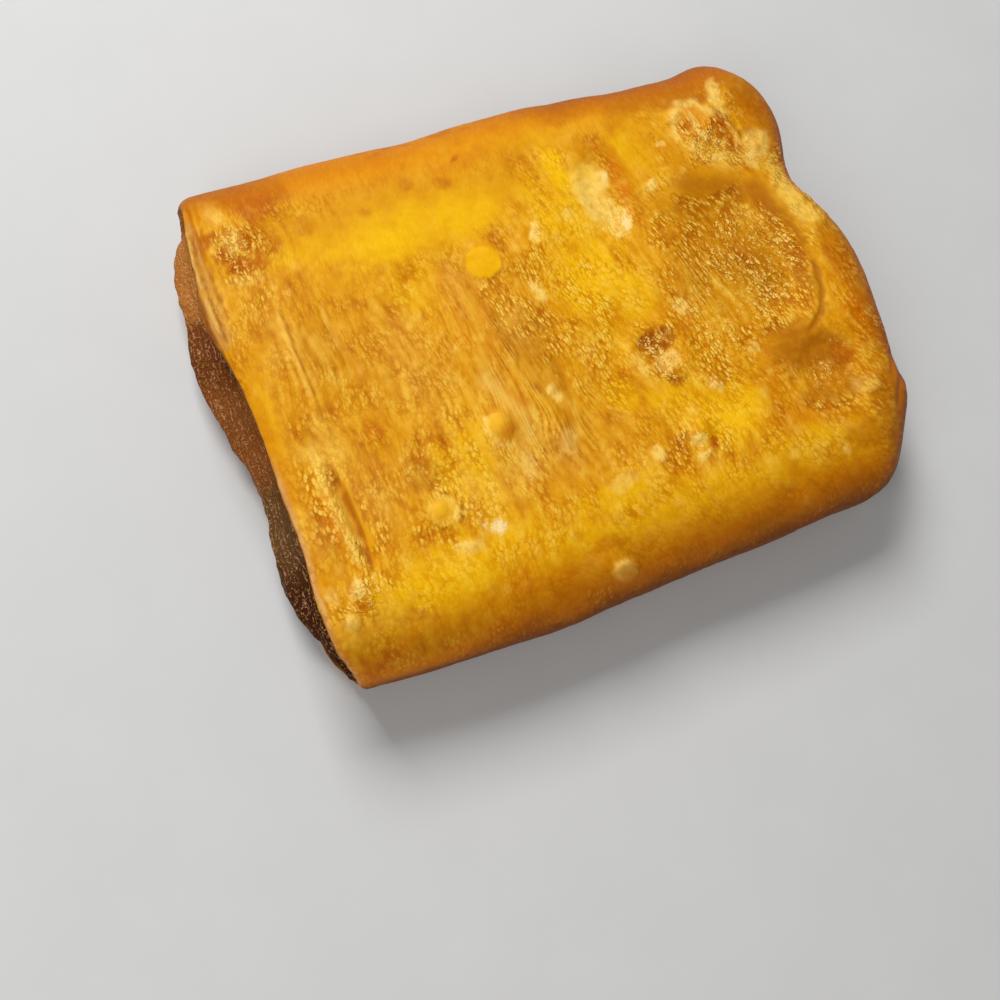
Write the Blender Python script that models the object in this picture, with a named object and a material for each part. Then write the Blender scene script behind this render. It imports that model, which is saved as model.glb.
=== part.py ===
# A savoury fried puff: one sheet of dough folded flat round its filling.
# It is rounded along three sides, and the layers of dough show at the fourth, the left end.
# X runs along the puff, Y across it and Z up, and the puff rests on its flat base at z = 0.
# The origin is under the middle of its bounding box.

from itertools import product

import bpy
import numpy as np
from mathutils import Vector, noise

MM = 0.001

# Driving sizes, in millimetres
LENGTH = 122.5
WIDTH = 97.5
THICKNESS = 24.0
MIDDLE = THICKNESS / 2
LONG_SIDE_ROUND = 13.0
RIGHT_END_ROUND = 14.0
LEFT_END_ROUND = 3.0
RIGHT_CORNER = 1.2
CORNER_REACH = 21.0
BASE_SQUARENESS = 3.4
DOME = 0.9

# Grid: rows round each rounded edge, and the spacing of the flat stretches
EDGE_ROWS = 5
SIDE_ROWS = 12
FLAT_SPACING = 3.0

# Swells of the plan outline: place along the edge, half width, height outward.
# Those of an end begin at its start along X, and those of a side at its start along Y.
RIGHT_START = 10.0
LEFT_START = -30.0
SIDE_START = 5.0
RIGHT_SWELLS = (
    (43.0, 7.0, -2.2),
    (24.0, 6.0, 0.4),
    (18.5, 9.0, -3.6),
    (5.0, 7.0, 0.4),
    (-4.0, 12.0, 2.4),
    (-19.0, 8.0, 0.5),
    (-31.0, 5.0, 1.6),
    (-38.0, 13.0, -2.4),
    (-44.0, 8.0, -1.6),
)
BACK_SWELLS = (
    (-54.0, 9.0, 0.4),
    (8.0, 14.0, 0.6),
    (15.0, 4.0, -0.5),
    (30.0, 9.0, -0.9),
    (42.0, 6.0, -1.2),
    (55.0, 5.0, 0.8),
)
FRONT_SWELLS = ((-27.0, 20.0, 0.9), (-57.0, 8.0, -0.6), (41.0, 20.0, -1.8))
LIP_SWELLS = (
    (46.0, 8.0, -1.2),
    (20.0, 8.5, 2.3),
    (33.0, 6.0, 0.4),
    (-8.0, 48.0, -0.8),
    (-1.0, 4.0, -0.2),
    (-24.0, 5.0, -0.3),
    (-32.0, 3.0, 0.3),
    (-49.5, 5.0, -2.0),
)
LOWER_SWELLS = (
    (47.5, 4.0, -3.4),
    (42.0, 11.0, 2.4),
    (28.0, 8.0, 1.6),
    (16.0, 8.0, 0.7),
    (8.0, 11.0, 3.5),
    (-6.0, 6.0, 0.8),
    (-24.0, 10.0, 3.1),
    (-45.0, 8.0, -2.6),
)

# Left end: the lip of the top layer, the tucked layers below it and the lower layer
LIP_ROUND = 1.6
LIP_OVERHANG = 3.2
TUCK_HEIGHT = 0.58
TUCK_SPREAD = 0.09
TUCK_OUT = 1.6
LOWER_HEIGHT = 0.24
LOWER_SPREAD = 0.17
LOWER_OUT = 4.0
END_FADE = 3.0
END_MARGIN = 1.0
CUT_STEP = 1.6
FRONT_TUCK = 2.4
FRONT_TUCK_START = 37.0
FRONT_TUCK_END = 46.0

# Groove round the right end, where the fold of the sheet is pinched
PINCH_HEIGHT = 0.44
PINCH_SPREAD = 0.07
PINCH_DEPTH = 0.9
PINCH_END = (0.5, 0.9)
PINCH_FADE = (30.0, -10.0)

# Parts of the crust by the lean of its surface, from none to all of each part
UPPER_PART = (-0.75, 0.1)
TOP_PART = (0.35, 0.9)
BASE_PART = (-0.9, -0.999)
LEFT_WALL = (0.3, 0.8)

# Sunken places of the top: middle x and y, half sizes left, right, front and back, depth
HOLLOWS = (
    (37.2, 2.9, 17.0, 13.5, 20.0, 19.0, 1.7),
    (43.7, -21.6, 9.0, 8.0, 5.5, 6.0, 0.7),
    (15.2, 22.9, 5.0, 5.0, 11.0, 10.0, 0.8),
)
HOLLOW_WALL = 0.45

# Raised places of the top: middle x and y, half length along x and y, height
SWELLINGS = (
    (57.2, 1.9, 5.0, 20.0, 1.2),
    (48.2, 36.9, 9.0, 7.0, 0.9),
    (6.2, -32.1, 40.0, 7.0, 0.7),
    (-13.8, 32.9, 35.0, 8.0, 0.5),
    (-56.3, -19.1, 3.0, 16.0, 0.5),
)

# Blisters: middle x and y, radius, height
BLISTERS = (
    (-20.6, -14.7, 3.4, 1.1),
    (-36.4, -25.6, 3.6, 0.6),
    (-10.3, -45.1, 3.6, 0.9),
    (-11.4, 16.1, 3.6, 0.4),
    (13.7, -26.6, 3.0, 0.9),
    (39.7, 29.9, 6.5, 0.8),
    (-52.8, -35.1, 4.0, 0.7),
    (-51.2, 34.9, 6.0, 0.6),
)
CRATER = (12.6, -10.1, 5.0)
CRATER_DEPTH = 0.45
CRATER_RIM = 0.35
CRATER_BOWL = 0.6
CRATER_RIM_WIDTH = 0.3

# Creases of the top: x and y of both ends, half width, depth, height of the ridge on its left
CREASES = (
    (-51.3, -12.0, -50.3, -31.0, 0.9, 0.9, 0.6),
    (-52.1, 21.9, -51.4, -8.1, 0.8, 0.3, 0.1),
    (-43.3, 16.9, -41.4, 0.9, 0.8, 0.3, 0.1),
)
CREASE_END = 3.0
RIDGE_PLACE = 2.0
RIDGE_WIDTH = 1.4

# Seam of the underside: the free edge of the sheet, which overlaps the rest
SEAM_PLACE = 27.0
SEAM_WANDER = 1.6
SEAM_WAVE = 21.0
SEAM_STEP = 1.4
SEAM_EDGE = 1.2
SEAM_FADE = 17.0
SEAM_MARGIN = 13.0

# Uneven lumps: size and height, large ones first
LUMPS = ((26.0, 0.75), (11.0, 0.35))

CRUST_COLOUR = (0.62, 0.31, 0.045, 1.0)
CRUST_ROUGHNESS = 0.42


def smooth(low, high, value):
    """A smooth step from 0 at low to 1 at high."""
    share = np.clip((value - low) / (high - low), 0.0, 1.0)
    return share * share * (3.0 - 2.0 * share)


def bell(distance, half_width):
    """A soft bump of height 1 at distance 0."""
    return np.exp(-((distance / half_width) ** 2))


def swell(swells, place):
    """The sum of the bumps of one edge at the given places along it."""
    return sum(height * bell(place - middle, width) for middle, width, height in swells)


def lumps(points, size):
    """Smooth noise between -1 and 1 with lumps of the given size."""
    return np.array([noise.noise(Vector(point) / size) for point in points])


def stations(low, high, low_round, high_round):
    """Grid stations across the puff: the flat stretch's point and the lean towards an edge."""
    edge = np.linspace(0.0, np.pi / 4, EDGE_ROWS + 1)[1:]
    start = low + low_round
    end = high - high_round
    count = round((end - start) / FLAT_SPACING)
    flat = np.linspace(start, end, count + 1)
    place = np.concatenate([np.full(EDGE_ROWS, start), flat, np.full(EDGE_ROWS, end)])
    lean = np.concatenate([-np.tan(edge)[::-1], np.zeros(count + 1), np.tan(edge)])
    return place, lean


def box_grid(sizes):
    """The points and quads of a box whose faces are grids, as whole numbers along X, Y and Z."""
    corners = []
    for axis in range(3):
        across, up = (axis + 1) % 3, (axis + 2) % 3
        steps = ((0, 0), (1, 0), (1, 1), (0, 1))
        for far in (False, True):
            order = steps if far else steps[::-1]
            for i, j in product(range(sizes[across]), range(sizes[up])):
                for step_i, step_j in order:
                    corner = [0, 0, 0]
                    corner[axis] = sizes[axis] if far else 0
                    corner[across] = i + step_i
                    corner[up] = j + step_j
                    corners.append(corner)
    points, index = np.unique(np.array(corners), axis=0, return_inverse=True)
    return points, index.reshape(-1, 4)


def wrap(points, columns, rows, levels):
    """Wrap the grid round the puff: rounded long sides and right end, nearly square left end."""
    x, lean_x = columns[0][points[:, 0]], columns[1][points[:, 0]]
    y, lean_y = rows[0][points[:, 1]], rows[1][points[:, 1]]
    lean = np.stack([lean_x, lean_y, levels[points[:, 2]]], axis=1)
    out = lean / np.linalg.norm(lean, axis=1, keepdims=True)
    level = np.maximum(np.hypot(out[:, 0], out[:, 1]), 1e-9)
    under = out[:, 2] < 0
    power = np.where(under, 2.0 / BASE_SQUARENESS, 1.0)
    reach = level**power / level
    round_x = np.where(out[:, 0] < 0, LEFT_END_ROUND, RIGHT_END_ROUND)
    x = x + round_x * out[:, 0] * reach
    y = y + LONG_SIDE_ROUND * out[:, 1] * reach
    z = MIDDLE + MIDDLE * np.sign(out[:, 2]) * np.abs(out[:, 2]) ** power
    return np.stack([x, y, z], axis=1), out


def shape_outline(place):
    """Make the plan outline uneven and round the right end's corners."""
    x, y = place[:, 0].copy(), place[:, 1].copy()
    near_right = smooth(RIGHT_START, LENGTH / 2, x)
    near_left = smooth(LEFT_START, -LENGTH / 2, x)
    x += near_right * swell(RIGHT_SWELLS, y) - near_left * swell(LIP_SWELLS, y)
    place[:, 1] += smooth(SIDE_START, WIDTH / 2, y) * swell(BACK_SWELLS, x)
    place[:, 1] -= smooth(-SIDE_START, -WIDTH / 2, y) * swell(FRONT_SWELLS, x)
    across = smooth(WIDTH / 2 - CORNER_REACH, WIDTH / 2, np.abs(y))
    corner = across * smooth(LENGTH / 2 - 2 * CORNER_REACH, LENGTH / 2, place[:, 0])
    place[:, 0] = x - RIGHT_CORNER * corner
    return place


def shape_left_end(place, out):
    """Cut the left end square and show the top layer's lip, the tucked layers and the lower one."""
    inward = MIDDLE * (1.0 - np.sqrt(np.clip(1.0 - out[:, 0] ** 2, 0.0, 1.0)))
    height = place[:, 2] / THICKNESS
    y = place[:, 1]
    lip = -LENGTH / 2 - swell(LIP_SWELLS, y)
    rim = 1.0 - np.clip(inward / LIP_ROUND, 0.0, 1.0)
    tuck = FRONT_TUCK * smooth(FRONT_TUCK_START, FRONT_TUCK_END, -y) * (1.0 - height)
    rounding = tuck + (LEFT_END_ROUND - tuck) * (1.0 - np.sqrt(1.0 - rim**2))
    open_part = smooth(0.0, END_FADE, WIDTH / 2 - END_MARGIN - np.abs(y))
    cut = smooth(LIP_ROUND, LIP_ROUND + CUT_STEP, inward) * open_part
    recess = LIP_OVERHANG - TUCK_OUT * bell(height - TUCK_HEIGHT, TUCK_SPREAD)
    lower = bell(height - LOWER_HEIGHT, LOWER_SPREAD)
    recess -= (LOWER_OUT + swell(LOWER_SWELLS, y)) * lower
    wall = lip + rounding + cut * recess
    place[:, 0] = np.where(out[:, 0] < 0, wall, place[:, 0])
    return place


def hollow(x, y, middle_x, middle_y, left, right, front, back, depth):
    """A sunken place with its own half size on each side."""
    across = (x - middle_x) / np.where(x < middle_x, left, right)
    along = (y - middle_y) / np.where(y < middle_y, front, back)
    return -depth * (1.0 - smooth(HOLLOW_WALL, 1.0, np.hypot(across, along)))


def crater(x, y):
    """A sunken blister with a raised rim."""
    middle_x, middle_y, radius = CRATER
    reach = np.hypot(x - middle_x, y - middle_y) / radius
    return CRATER_RIM * bell(reach - 1.0, CRATER_RIM_WIDTH) - CRATER_DEPTH * bell(reach, CRATER_BOWL)


def crease(x, y, x1, y1, x2, y2, half_width, depth, ridge):
    """A crease between two points, with a ridge on its left."""
    length = np.hypot(x2 - x1, y2 - y1)
    along = ((x - x1) * (x2 - x1) + (y - y1) * (y2 - y1)) / length
    side = ((x - x1) * (y2 - y1) - (y - y1) * (x2 - x1)) / length
    ends = smooth(-CREASE_END, CREASE_END, along) * smooth(-CREASE_END, CREASE_END, length - along)
    groove = depth * bell(side, half_width)
    return ends * (ridge * bell(side - RIDGE_PLACE * half_width, RIDGE_WIDTH * half_width) - groove)


def top_relief(x, y):
    """The large relief of the top, above its even surface."""
    relief = DOME * np.clip(1.0 - (2 * x / LENGTH) ** 2, 0, 1) * np.clip(1.0 - (2 * y / WIDTH) ** 2, 0, 1)
    for values in HOLLOWS:
        relief += hollow(x, y, *values)
    for middle_x, middle_y, long, wide, height in SWELLINGS:
        relief += height * bell(np.hypot((x - middle_x) / long, (y - middle_y) / wide), 1.0)
    for middle_x, middle_y, radius, height in BLISTERS:
        relief += height * bell(np.hypot(x - middle_x, y - middle_y), 0.75 * radius)
    for values in CREASES:
        relief += crease(x, y, *values)
    return relief + crater(x, y)


def seam_relief(x, y):
    """How far the underside rises beside the overlapping edge of the sheet."""
    beside = SEAM_PLACE + SEAM_WANDER * np.sin(x / SEAM_WAVE) - y
    step = smooth(0.0, SEAM_EDGE, beside) * (1.0 - smooth(SEAM_EDGE, SEAM_FADE, beside))
    inner = smooth(0.0, SEAM_MARGIN, LENGTH / 2 - np.abs(x))
    return SEAM_STEP * step * inner


def add_relief(place, out):
    """Raise and sink the crust: lumps all over but the base, blisters and hollows on top."""
    x, y = place[:, 0].copy(), place[:, 1].copy()
    upper = smooth(*UPPER_PART, out[:, 2]) * (1.0 - smooth(*LEFT_WALL, -out[:, 0]))
    height = sum(rise * lumps(place, size) for size, rise in LUMPS)
    pinch = bell(place[:, 2] / THICKNESS - PINCH_HEIGHT, PINCH_SPREAD) * smooth(*PINCH_END, out[:, 0])
    height -= PINCH_DEPTH * pinch * smooth(*PINCH_FADE, y)
    place += out * (upper * height)[:, None]
    place[:, 2] += smooth(*TOP_PART, out[:, 2]) * top_relief(x, y)
    place[:, 2] += smooth(*BASE_PART, out[:, 2]) * seam_relief(x, y)
    return place


def centre(place):
    """Put the origin under the middle of the bounding box."""
    low, high = place.min(axis=0), place.max(axis=0)
    middle = (low + high) / 2
    return place - np.array([middle[0], middle[1], low[2]])


def puff_points():
    """All points of the puff, in millimetres, and its quads."""
    half_length, half_width = LENGTH / 2, WIDTH / 2
    columns = stations(-half_length, half_length, LEFT_END_ROUND, RIGHT_END_ROUND)
    rows = stations(-half_width, half_width, LONG_SIDE_ROUND, LONG_SIDE_ROUND)
    levels = np.tan(np.linspace(-np.pi / 4, np.pi / 4, SIDE_ROWS + 1))
    points, quads = box_grid((len(columns[0]) - 1, len(rows[0]) - 1, SIDE_ROWS))
    place, out = wrap(points, columns, rows, levels)
    place = shape_outline(place)
    place = shape_left_end(place, out)
    place = add_relief(place, out)
    return centre(place), quads


def crust_material():
    """Fried dough crust."""
    material = bpy.data.materials.new("fried_crust")
    material.use_nodes = True
    shader = material.node_tree.nodes["Principled BSDF"]
    shader.inputs["Base Color"].default_value = CRUST_COLOUR
    shader.inputs["Roughness"].default_value = CRUST_ROUGHNESS
    shader.inputs["Metallic"].default_value = 0.0
    return material


def clear_scene():
    """Remove the objects that a new file holds."""
    for item in list(bpy.data.objects):
        bpy.data.objects.remove(item)


def build_puff():
    """Make the puff as one closed mesh."""
    place, quads = puff_points()
    mesh = bpy.data.meshes.new("pastry")
    mesh.from_pydata((place * MM).tolist(), [], quads.tolist())
    mesh.shade_smooth()
    mesh.materials.append(crust_material())
    puff = bpy.data.objects.new("pastry", mesh)
    bpy.context.collection.objects.link(puff)


clear_scene()
build_puff()
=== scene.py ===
from itertools import product

import bpy
import numpy as np
from mathutils import Matrix, Vector, noise


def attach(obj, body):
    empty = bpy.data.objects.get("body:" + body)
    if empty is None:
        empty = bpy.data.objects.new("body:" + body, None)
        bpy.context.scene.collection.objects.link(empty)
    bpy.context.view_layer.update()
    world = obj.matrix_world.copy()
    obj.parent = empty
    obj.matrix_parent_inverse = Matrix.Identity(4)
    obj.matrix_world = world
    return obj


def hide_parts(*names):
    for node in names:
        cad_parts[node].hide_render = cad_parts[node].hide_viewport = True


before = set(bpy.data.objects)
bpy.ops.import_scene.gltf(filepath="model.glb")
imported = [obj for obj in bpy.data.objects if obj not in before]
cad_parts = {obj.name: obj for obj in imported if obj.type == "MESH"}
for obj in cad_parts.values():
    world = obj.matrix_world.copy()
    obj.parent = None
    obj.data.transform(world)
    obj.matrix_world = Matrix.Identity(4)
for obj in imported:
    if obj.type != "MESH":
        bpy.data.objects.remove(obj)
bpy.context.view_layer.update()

# The crust of the savoury puff at full detail, in the frame of the solid that it stands for.
# Lengths are in millimetres until the mesh is made. X runs along the puff, Y across it, Z up.
MM = 0.001

# Sizes of the puff, as in the solid
LENGTH = 122.5
WIDTH = 97.5
THICKNESS = 24.0
MIDDLE = THICKNESS / 2
LONG_SIDE_ROUND = 13.0
RIGHT_END_ROUND = 14.0
LEFT_END_ROUND = 3.0
RIGHT_CORNER = 1.2
CORNER_REACH = 21.0
BASE_SQUARENESS = 3.4
DOME = 0.9

# Grid of the mesh
EDGE_ROWS = 20
SIDE_ROWS = 40
FLAT_SPACING = 0.48
BASE_CELL = 3
LEAST_LEVEL = 1e-9

# Swells of the plan outline: place along the edge, half width, height outward.
# Those of an end grow from its start along X, and those of a side from its start along Y.
RIGHT_START = 10.0
LEFT_START = -30.0
SIDE_START = 5.0
RIGHT_SWELLS = (
    (43, 7, -2.2), (24, 6, 0.4), (18.5, 9, -3.6), (5, 7, 0.4), (-4, 12, 2.4), (-19, 8, 0.5), (-31, 5, 1.6),
    (-38, 13, -2.4), (-44, 8, -1.6),
)
BACK_SWELLS = (
    (-54, 9, 0.4), (8, 14, 0.6), (15, 4, -0.5), (30, 9, -0.9), (42, 6, -1.2), (55, 5, 0.8),
)
FRONT_SWELLS = ((-27, 20, 0.9), (-57, 8, -0.6), (41, 20, -1.8))
LIP_SWELLS = (
    (46, 8, -1.2), (20, 8.5, 2.3), (33, 6, 0.4), (-8, 48, -0.8), (-1, 4, -0.2), (-24, 5, -0.3),
    (-32, 3, 0.3), (-49.5, 5, -2),
)
LOWER_SWELLS = (
    (47.5, 4, -3.4), (42, 11, 2.4), (28, 8, 1.6), (16, 8, 0.7), (8, 11, 3.5), (-6, 6, 0.8), (-24, 10, 3.1),
    (-45, 8, -2.6),
)

# Left end: the lip of the top layer, the tucked layers below it and the lower layer
LIP_ROUND = 1.6
LIP_OVERHANG = 3.2
TUCK_HEIGHT = 0.58
TUCK_SPREAD = 0.09
TUCK_OUT = 1.6
LOWER_HEIGHT = 0.24
LOWER_SPREAD = 0.17
LOWER_OUT = 4.0
END_FADE = 3.0
END_MARGIN = 1.0
CUT_STEP = 1.6
FRONT_TUCK = 2.4
FRONT_TUCK_START = 37.0
FRONT_TUCK_END = 46.0
END_FACE = (1.1, 1.9)
RIM_LINE = 0.9
RIM_LINE_WIDTH = 0.35

# Groove round the right end, where the fold of the sheet is pinched
PINCH_HEIGHT = 0.44
PINCH_SPREAD = 0.07
PINCH_DEPTH = 0.9
PINCH_END = (0.5, 0.9)
PINCH_FADE = (30.0, -10.0)

# Parts of the crust by the lean of its surface, from none to all of each part
UPPER_PART = (-0.75, 0.1)
TOP_PART = (0.35, 0.9)
BASE_PART = (-0.9, -0.999)
LEFT_WALL = (0.3, 0.8)

# Sunken places of the top: middle x and y, half sizes left, right, front and back, depth
HOLLOWS = (
    (37.2, 2.9, 17, 13.5, 20, 19, 1.7), (43.7, -21.6, 9, 8, 5.5, 6, 0.7), (15.2, 22.9, 5, 5, 11, 10, 0.8),
)
HOLLOW_WALL = 0.45

# Raised places of the top: middle x and y, half length along x and y, height
SWELLINGS = (
    (57.2, 1.9, 5, 20, 1.2), (48.2, 36.9, 9, 7, 0.9), (6.2, -32.1, 40, 7, 0.7), (-13.8, 32.9, 35, 8, 0.5),
    (-56.3, -19.1, 3, 16, 0.5),
)

# Blisters: middle x and y, radius, height
BLISTERS = (
    (-20.6, -14.7, 3.4, 1.1), (-36.4, -25.6, 3.6, 0.6), (-10.3, -45.1, 3.6, 0.9), (-11.4, 16.1, 3.6, 0.4),
    (13.7, -26.6, 3, 0.9), (39.7, 29.9, 6.5, 0.8), (-52.8, -35.1, 4, 0.7), (-51.2, 34.9, 6, 0.6),
)
BLISTER_SPREAD = 0.75

# Sunken blister: middle x and y, radius
CRATER = (12.6, -10.1, 5.0)
CRATER_DEPTH = 0.45
CRATER_RIM = 0.35
CRATER_BOWL = 0.6
CRATER_RIM_WIDTH = 0.3

# Creases of the top: x and y of both ends, half width, depth, height of the ridge on its left
CREASES = (
    (-51.3, -12, -50.3, -31, 0.9, 0.9, 0.6), (-52.1, 21.9, -51.4, -8.1, 0.8, 0.3, 0.1),
    (-43.3, 16.9, -41.4, 0.9, 0.8, 0.3, 0.1),
)
CREASE_END = 3.0
RIDGE_PLACE = 2.0
RIDGE_WIDTH = 1.4

# Seam of the underside
SEAM_PLACE = 27.0
SEAM_WANDER = 1.6
SEAM_WAVE = 21.0
SEAM_STEP = 1.4
SEAM_EDGE = 1.2
SEAM_FADE = 17.0
SEAM_MARGIN = 13.0

# Uneven lumps: size and height, large ones first
LUMPS = ((26.0, 0.75), (11.0, 0.35))

# Noise of the fine relief and the colours, and the steps that keep one noise apart from another
SLOPE_COUNT = 4093
SLOPE_SEED = 11
CELL_MIX = np.array([73856093, 19349663, 83492791])
NOISE_GAIN = 1.4
LIP_STEP = 50.0
WARP_STEP = 100.0
CLOUD_STEP = 30.0
STREAK_STEP = -40.0
CLUSTER_STEP = 60.0
SPECK_STEP = 20.0

# Right rim of the large hollow, sunken, with a darker streak that is partly painted shade in the groove
HOLLOW_RIM = ((47.4, 9), (49, 4), (49.4, -2), (48.4, -8), (46, -12.4), (42.5, -15))

# Lines of the fine relief: points, half width, height (sunken if below 0)
LINES = (
    (HOLLOW_RIM, 0.5, -0.4),
    (((43.5, 34), (45.3, 31.5), (46.2, 27.5)), 0.35, 0.45),
    (((-49.8, 17.5), (-49.7, 9), (-49.3, 1)), 0.35, -0.2),
    (((-42.4, 16), (-42, 9), (-41.3, 3)), 0.35, -0.15),
    (((-26, -12), (-24.8, -18), (-24.3, -26)), 0.4, -0.2),
    (((-22.5, 0), (-20.5, -5), (-17.5, -9.5)), 0.45, -0.22),
    (((-8.6, -7), (-8, -14), (-7.8, -19)), 0.4, -0.25),
    (((-6.4, -6), (-6, -14)), 0.4, -0.22),
    (((-12.5, -4), (-9.5, -13)), 0.4, -0.2),
    (((-59.2, 40.5), (-59.2, 35), (-59, 29), (-58.7, 22)), 0.45, -0.55),
    (((-58.3, 39.5), (-58, 35), (-57.6, 32)), 0.35, -0.4),
    (((-61.5, 37), (-62, 27), (-61.9, 18), (-60.9, 9)), 0.4, -0.4),
    (((57.5, -20), (56, -28), (52.5, -34)), 0.5, -0.4),
    (((55.6, -24), (53.8, -29)), 0.4, -0.3),
)

# Ring blisters: middle x and y, radius, height of the ring, height of the middle
RINGS = (
    (-35.8, -25.6, 2.9, 0.3, -0.2), (-12.6, 14.3, 4.8, 0.22, 0), (-12.5, 4.5, 3.2, 0.2, 0),
    (-1, 18.3, 2.2, 0.3, 0.1), (-53.5, 7.5, 2, 0.25, -0.1), (38.3, 32.5, 4.2, 0.4, -0.2),
    (48.4, 26, 2.4, 0.35, -0.2), (45.2, 3.8, 1.7, 0.3, 0), (49.5, -13, 2.4, 0.25, 0.1),
    (-37, -17, 2.6, 0.2, 0), (51.5, 14, 3.4, 0.25, 0.1), (53.5, 8, 3, 0.25, 0.2),
    (-20, 39.3, 0.9, 0.3, 0.1), (27, -45, 1.6, 0.2, 0.4),
)
RING_NOISE = 3.1
RING_BEND = 0.5
RING_LEAST = 0.7
RING_WIDTH = 0.22
RING_MIDDLE = 0.7

# Domed bubbles: middle x and y, half sizes, height
DOMES = (
    (-20.8, -14.6, 2.6, 3, 0.2), (-9.4, -46, 2.7, 2.3, 0.7), (12.7, -27.5, 1.7, 1.7, 0.3),
    (12.9, -31, 1.7, 1.2, 0.3), (4.7, -29, 1.4, 2.1, 0.3), (-53.6, -33.8, 1.5, 1.5, 0.4),
    (-56.2, -38.7, 1.4, 1.8, 0.35), (-36.6, 1.3, 1.1, 1.3, 0.3), (-33.2, -33, 1.5, 1.2, 0.3),
    (20.8, -19.3, 1.3, 1.5, 0.3), (-36, -25.6, 1.5, 1.6, 0.3), (48.7, -28.4, 3, 2.2, 0.35),
    (-9, -10.6, 0.9, 1.6, 0.3), (25, 22, 1.1, 1.1, 0.3),
)
DOME_EDGE = 0.55

# Rough places, where a blister has burst into flakes: middle x and y, half sizes, height
ROUGH = (
    (39.5, 27.5, 5.5, 6.5, 0.25), (47.5, 24, 3.5, 4, 0.2), (12.8, -12.8, 4.2, 3.2, 0.3),
    (-53.5, 31.5, 3.6, 5.6, 0.2), (16.3, 16, 3, 3.2, 0.2), (-27.6, -31, 1.6, 1.6, 0.3),
    (40, -25, 4.5, 2.2, 0.2), (47, -19, 2.2, 2.2, 0.2), (46.8, 36, 2.2, 4.5, 0.25),
    (-53.5, -35, 4.5, 3.5, 0.3), (12, -28, 4.5, 3.5, 0.1),
)

# Small blisters scattered over the crust, most of them near the least radius
SMALL_BLISTERS = 1100
SMALL_SEED = 7
SMALL_RADII = (0.45, 1.3)
SMALL_RARITY = 3
SMALL_RISE = (0.4, 1.0)
SMALL_REACH = 2.0
SMALL_SPREAD = 0.6
SMALL_LONG = 1.3
SMALL_HEIGHT = 0.14
SMALL_LEAST = 0.3
# Share of pale dough on the tops of the small blisters, partly painted highlight
SMALL_PALE_HIGHLIGHT = 0.6

# Grain of the stretched dough: it fans out from the left end
GRAIN_FAN = 0.0033
GRAIN_WIDTH = 0.85
GRAIN_LENGTH = 1.8
GRAIN_WAVE = (14.0, 2.0)
GRAIN_HEIGHT = 0.085
GRAIN_LEAST = 0.3
PEBBLE_SIZE = 1.7
PEBBLE_HEIGHT = 0.07
PEBBLE_LEAST = 0.4

# Torn flakes of burst blisters: size, gain and drop of their noise
TORN_SIZE = 1.3
TORN_GAIN = 2.0
TORN_DROP = 0.5

# Long thin lines of the grain: sizes across, along and up, share, gaps between them, depth, and the painted
# shade along them
LINE_SIZE = (2.6, 22.0, 12.0)
LINE_SHARE = 0.09
LINE_GAP_SIZE = 6.0
LINE_GAPS = (-0.25, 0.2)
LINE_DEPTH = 0.18
LINE_SHADE = 0.85

# Long fine folds between the streaks of the grain: sizes across, along and up, height
FIBRE_SIZE = (1.3, 9.0, 6.0)
FIBRE_HEIGHT = 0.30

# Torn layers of the left end's wall and the ragged lip above it: size and height
WALL_LAYERS = (((1.5, 11.0, 1.5), 0.6), (3.1, 0.22), (1.3, 0.2))
WALL_GRAIN = (0.9, 1.1, 0.8)
LIP_LAYERS = ((6.0, 0.22), (2.1, 0.12))
LIP_REACH = 2.2

# Small bumps of the sides: size and height
SIDE_LAYERS = ((1.6, 0.09), ((5.0, 5.0, 2.0), 0.12))

# Where fine relief and marks lie, by the lean of the surface, from none to all of each part
FINE_PART = (-0.2, 0.5)
SIDE_PART = (-0.85, -0.4)
LEVEL_PART = (0.2, 0.7)
PEBBLED_PART = (0.0, 0.8)
FLAKY_PART = (0.3, 0.8)

# Underside: shallow dimples
DIMPLE_SIZE = 5.0
DIMPLE_RANGE = (0.1, 0.7)
DIMPLE_DEPTH = 0.25

# The share of a patch's size from which its edge is soft
WIDE_EDGE = 0.05
NEAR_EDGE = 0.55
TORN_EDGE = 0.75
CLEAR_EDGE = 0.85

# From the middle of the driving sizes to the middle of the solid's box
FRAME_SHIFT = (1.13, 0.37)

# Heights above or below the level of the top for which a mark is moved to where it is seen
LIFT_RANGE = (-5.0, 3.0)

# Camera in the puff's own frame: place, directions of its right and top, lens, nearest distance in metres
CAMERA_PLACE = (-79.37, -77.03, 235.2)
CAMERA_RIGHT = (0.9194, -0.3626, 0.1527)
CAMERA_UP = (0.3077, 0.9046, 0.2950)
CAMERA_LENS = 46.8
CAMERA_NEAR = 0.01


def smooth(low, high, value):
    """A smooth step from 0 at low to 1 at high."""
    share = np.clip((value - low) / (high - low), 0.0, 1.0)
    return share * share * (3.0 - 2.0 * share)


def bell(distance, half_width):
    """A soft bump of height 1 at distance 0."""
    return np.exp(-((distance / half_width) ** 2))


def swell(swells, place):
    """The sum of the bumps of one edge at the given places along it."""
    return sum(height * bell(place - middle, width) for middle, width, height in swells)


def solid_lumps(points, size):
    """Smooth noise between -1 and 1 with lumps of the given size, the same as in the solid."""
    return np.array([noise.noise(Vector(point) / size) for point in points])


def corner_slopes():
    """A fixed table of directions in space."""
    slopes = np.random.default_rng(SLOPE_SEED).normal(size=(SLOPE_COUNT, 3))
    return slopes / np.linalg.norm(slopes, axis=1, keepdims=True)


SLOPES = corner_slopes()


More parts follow.
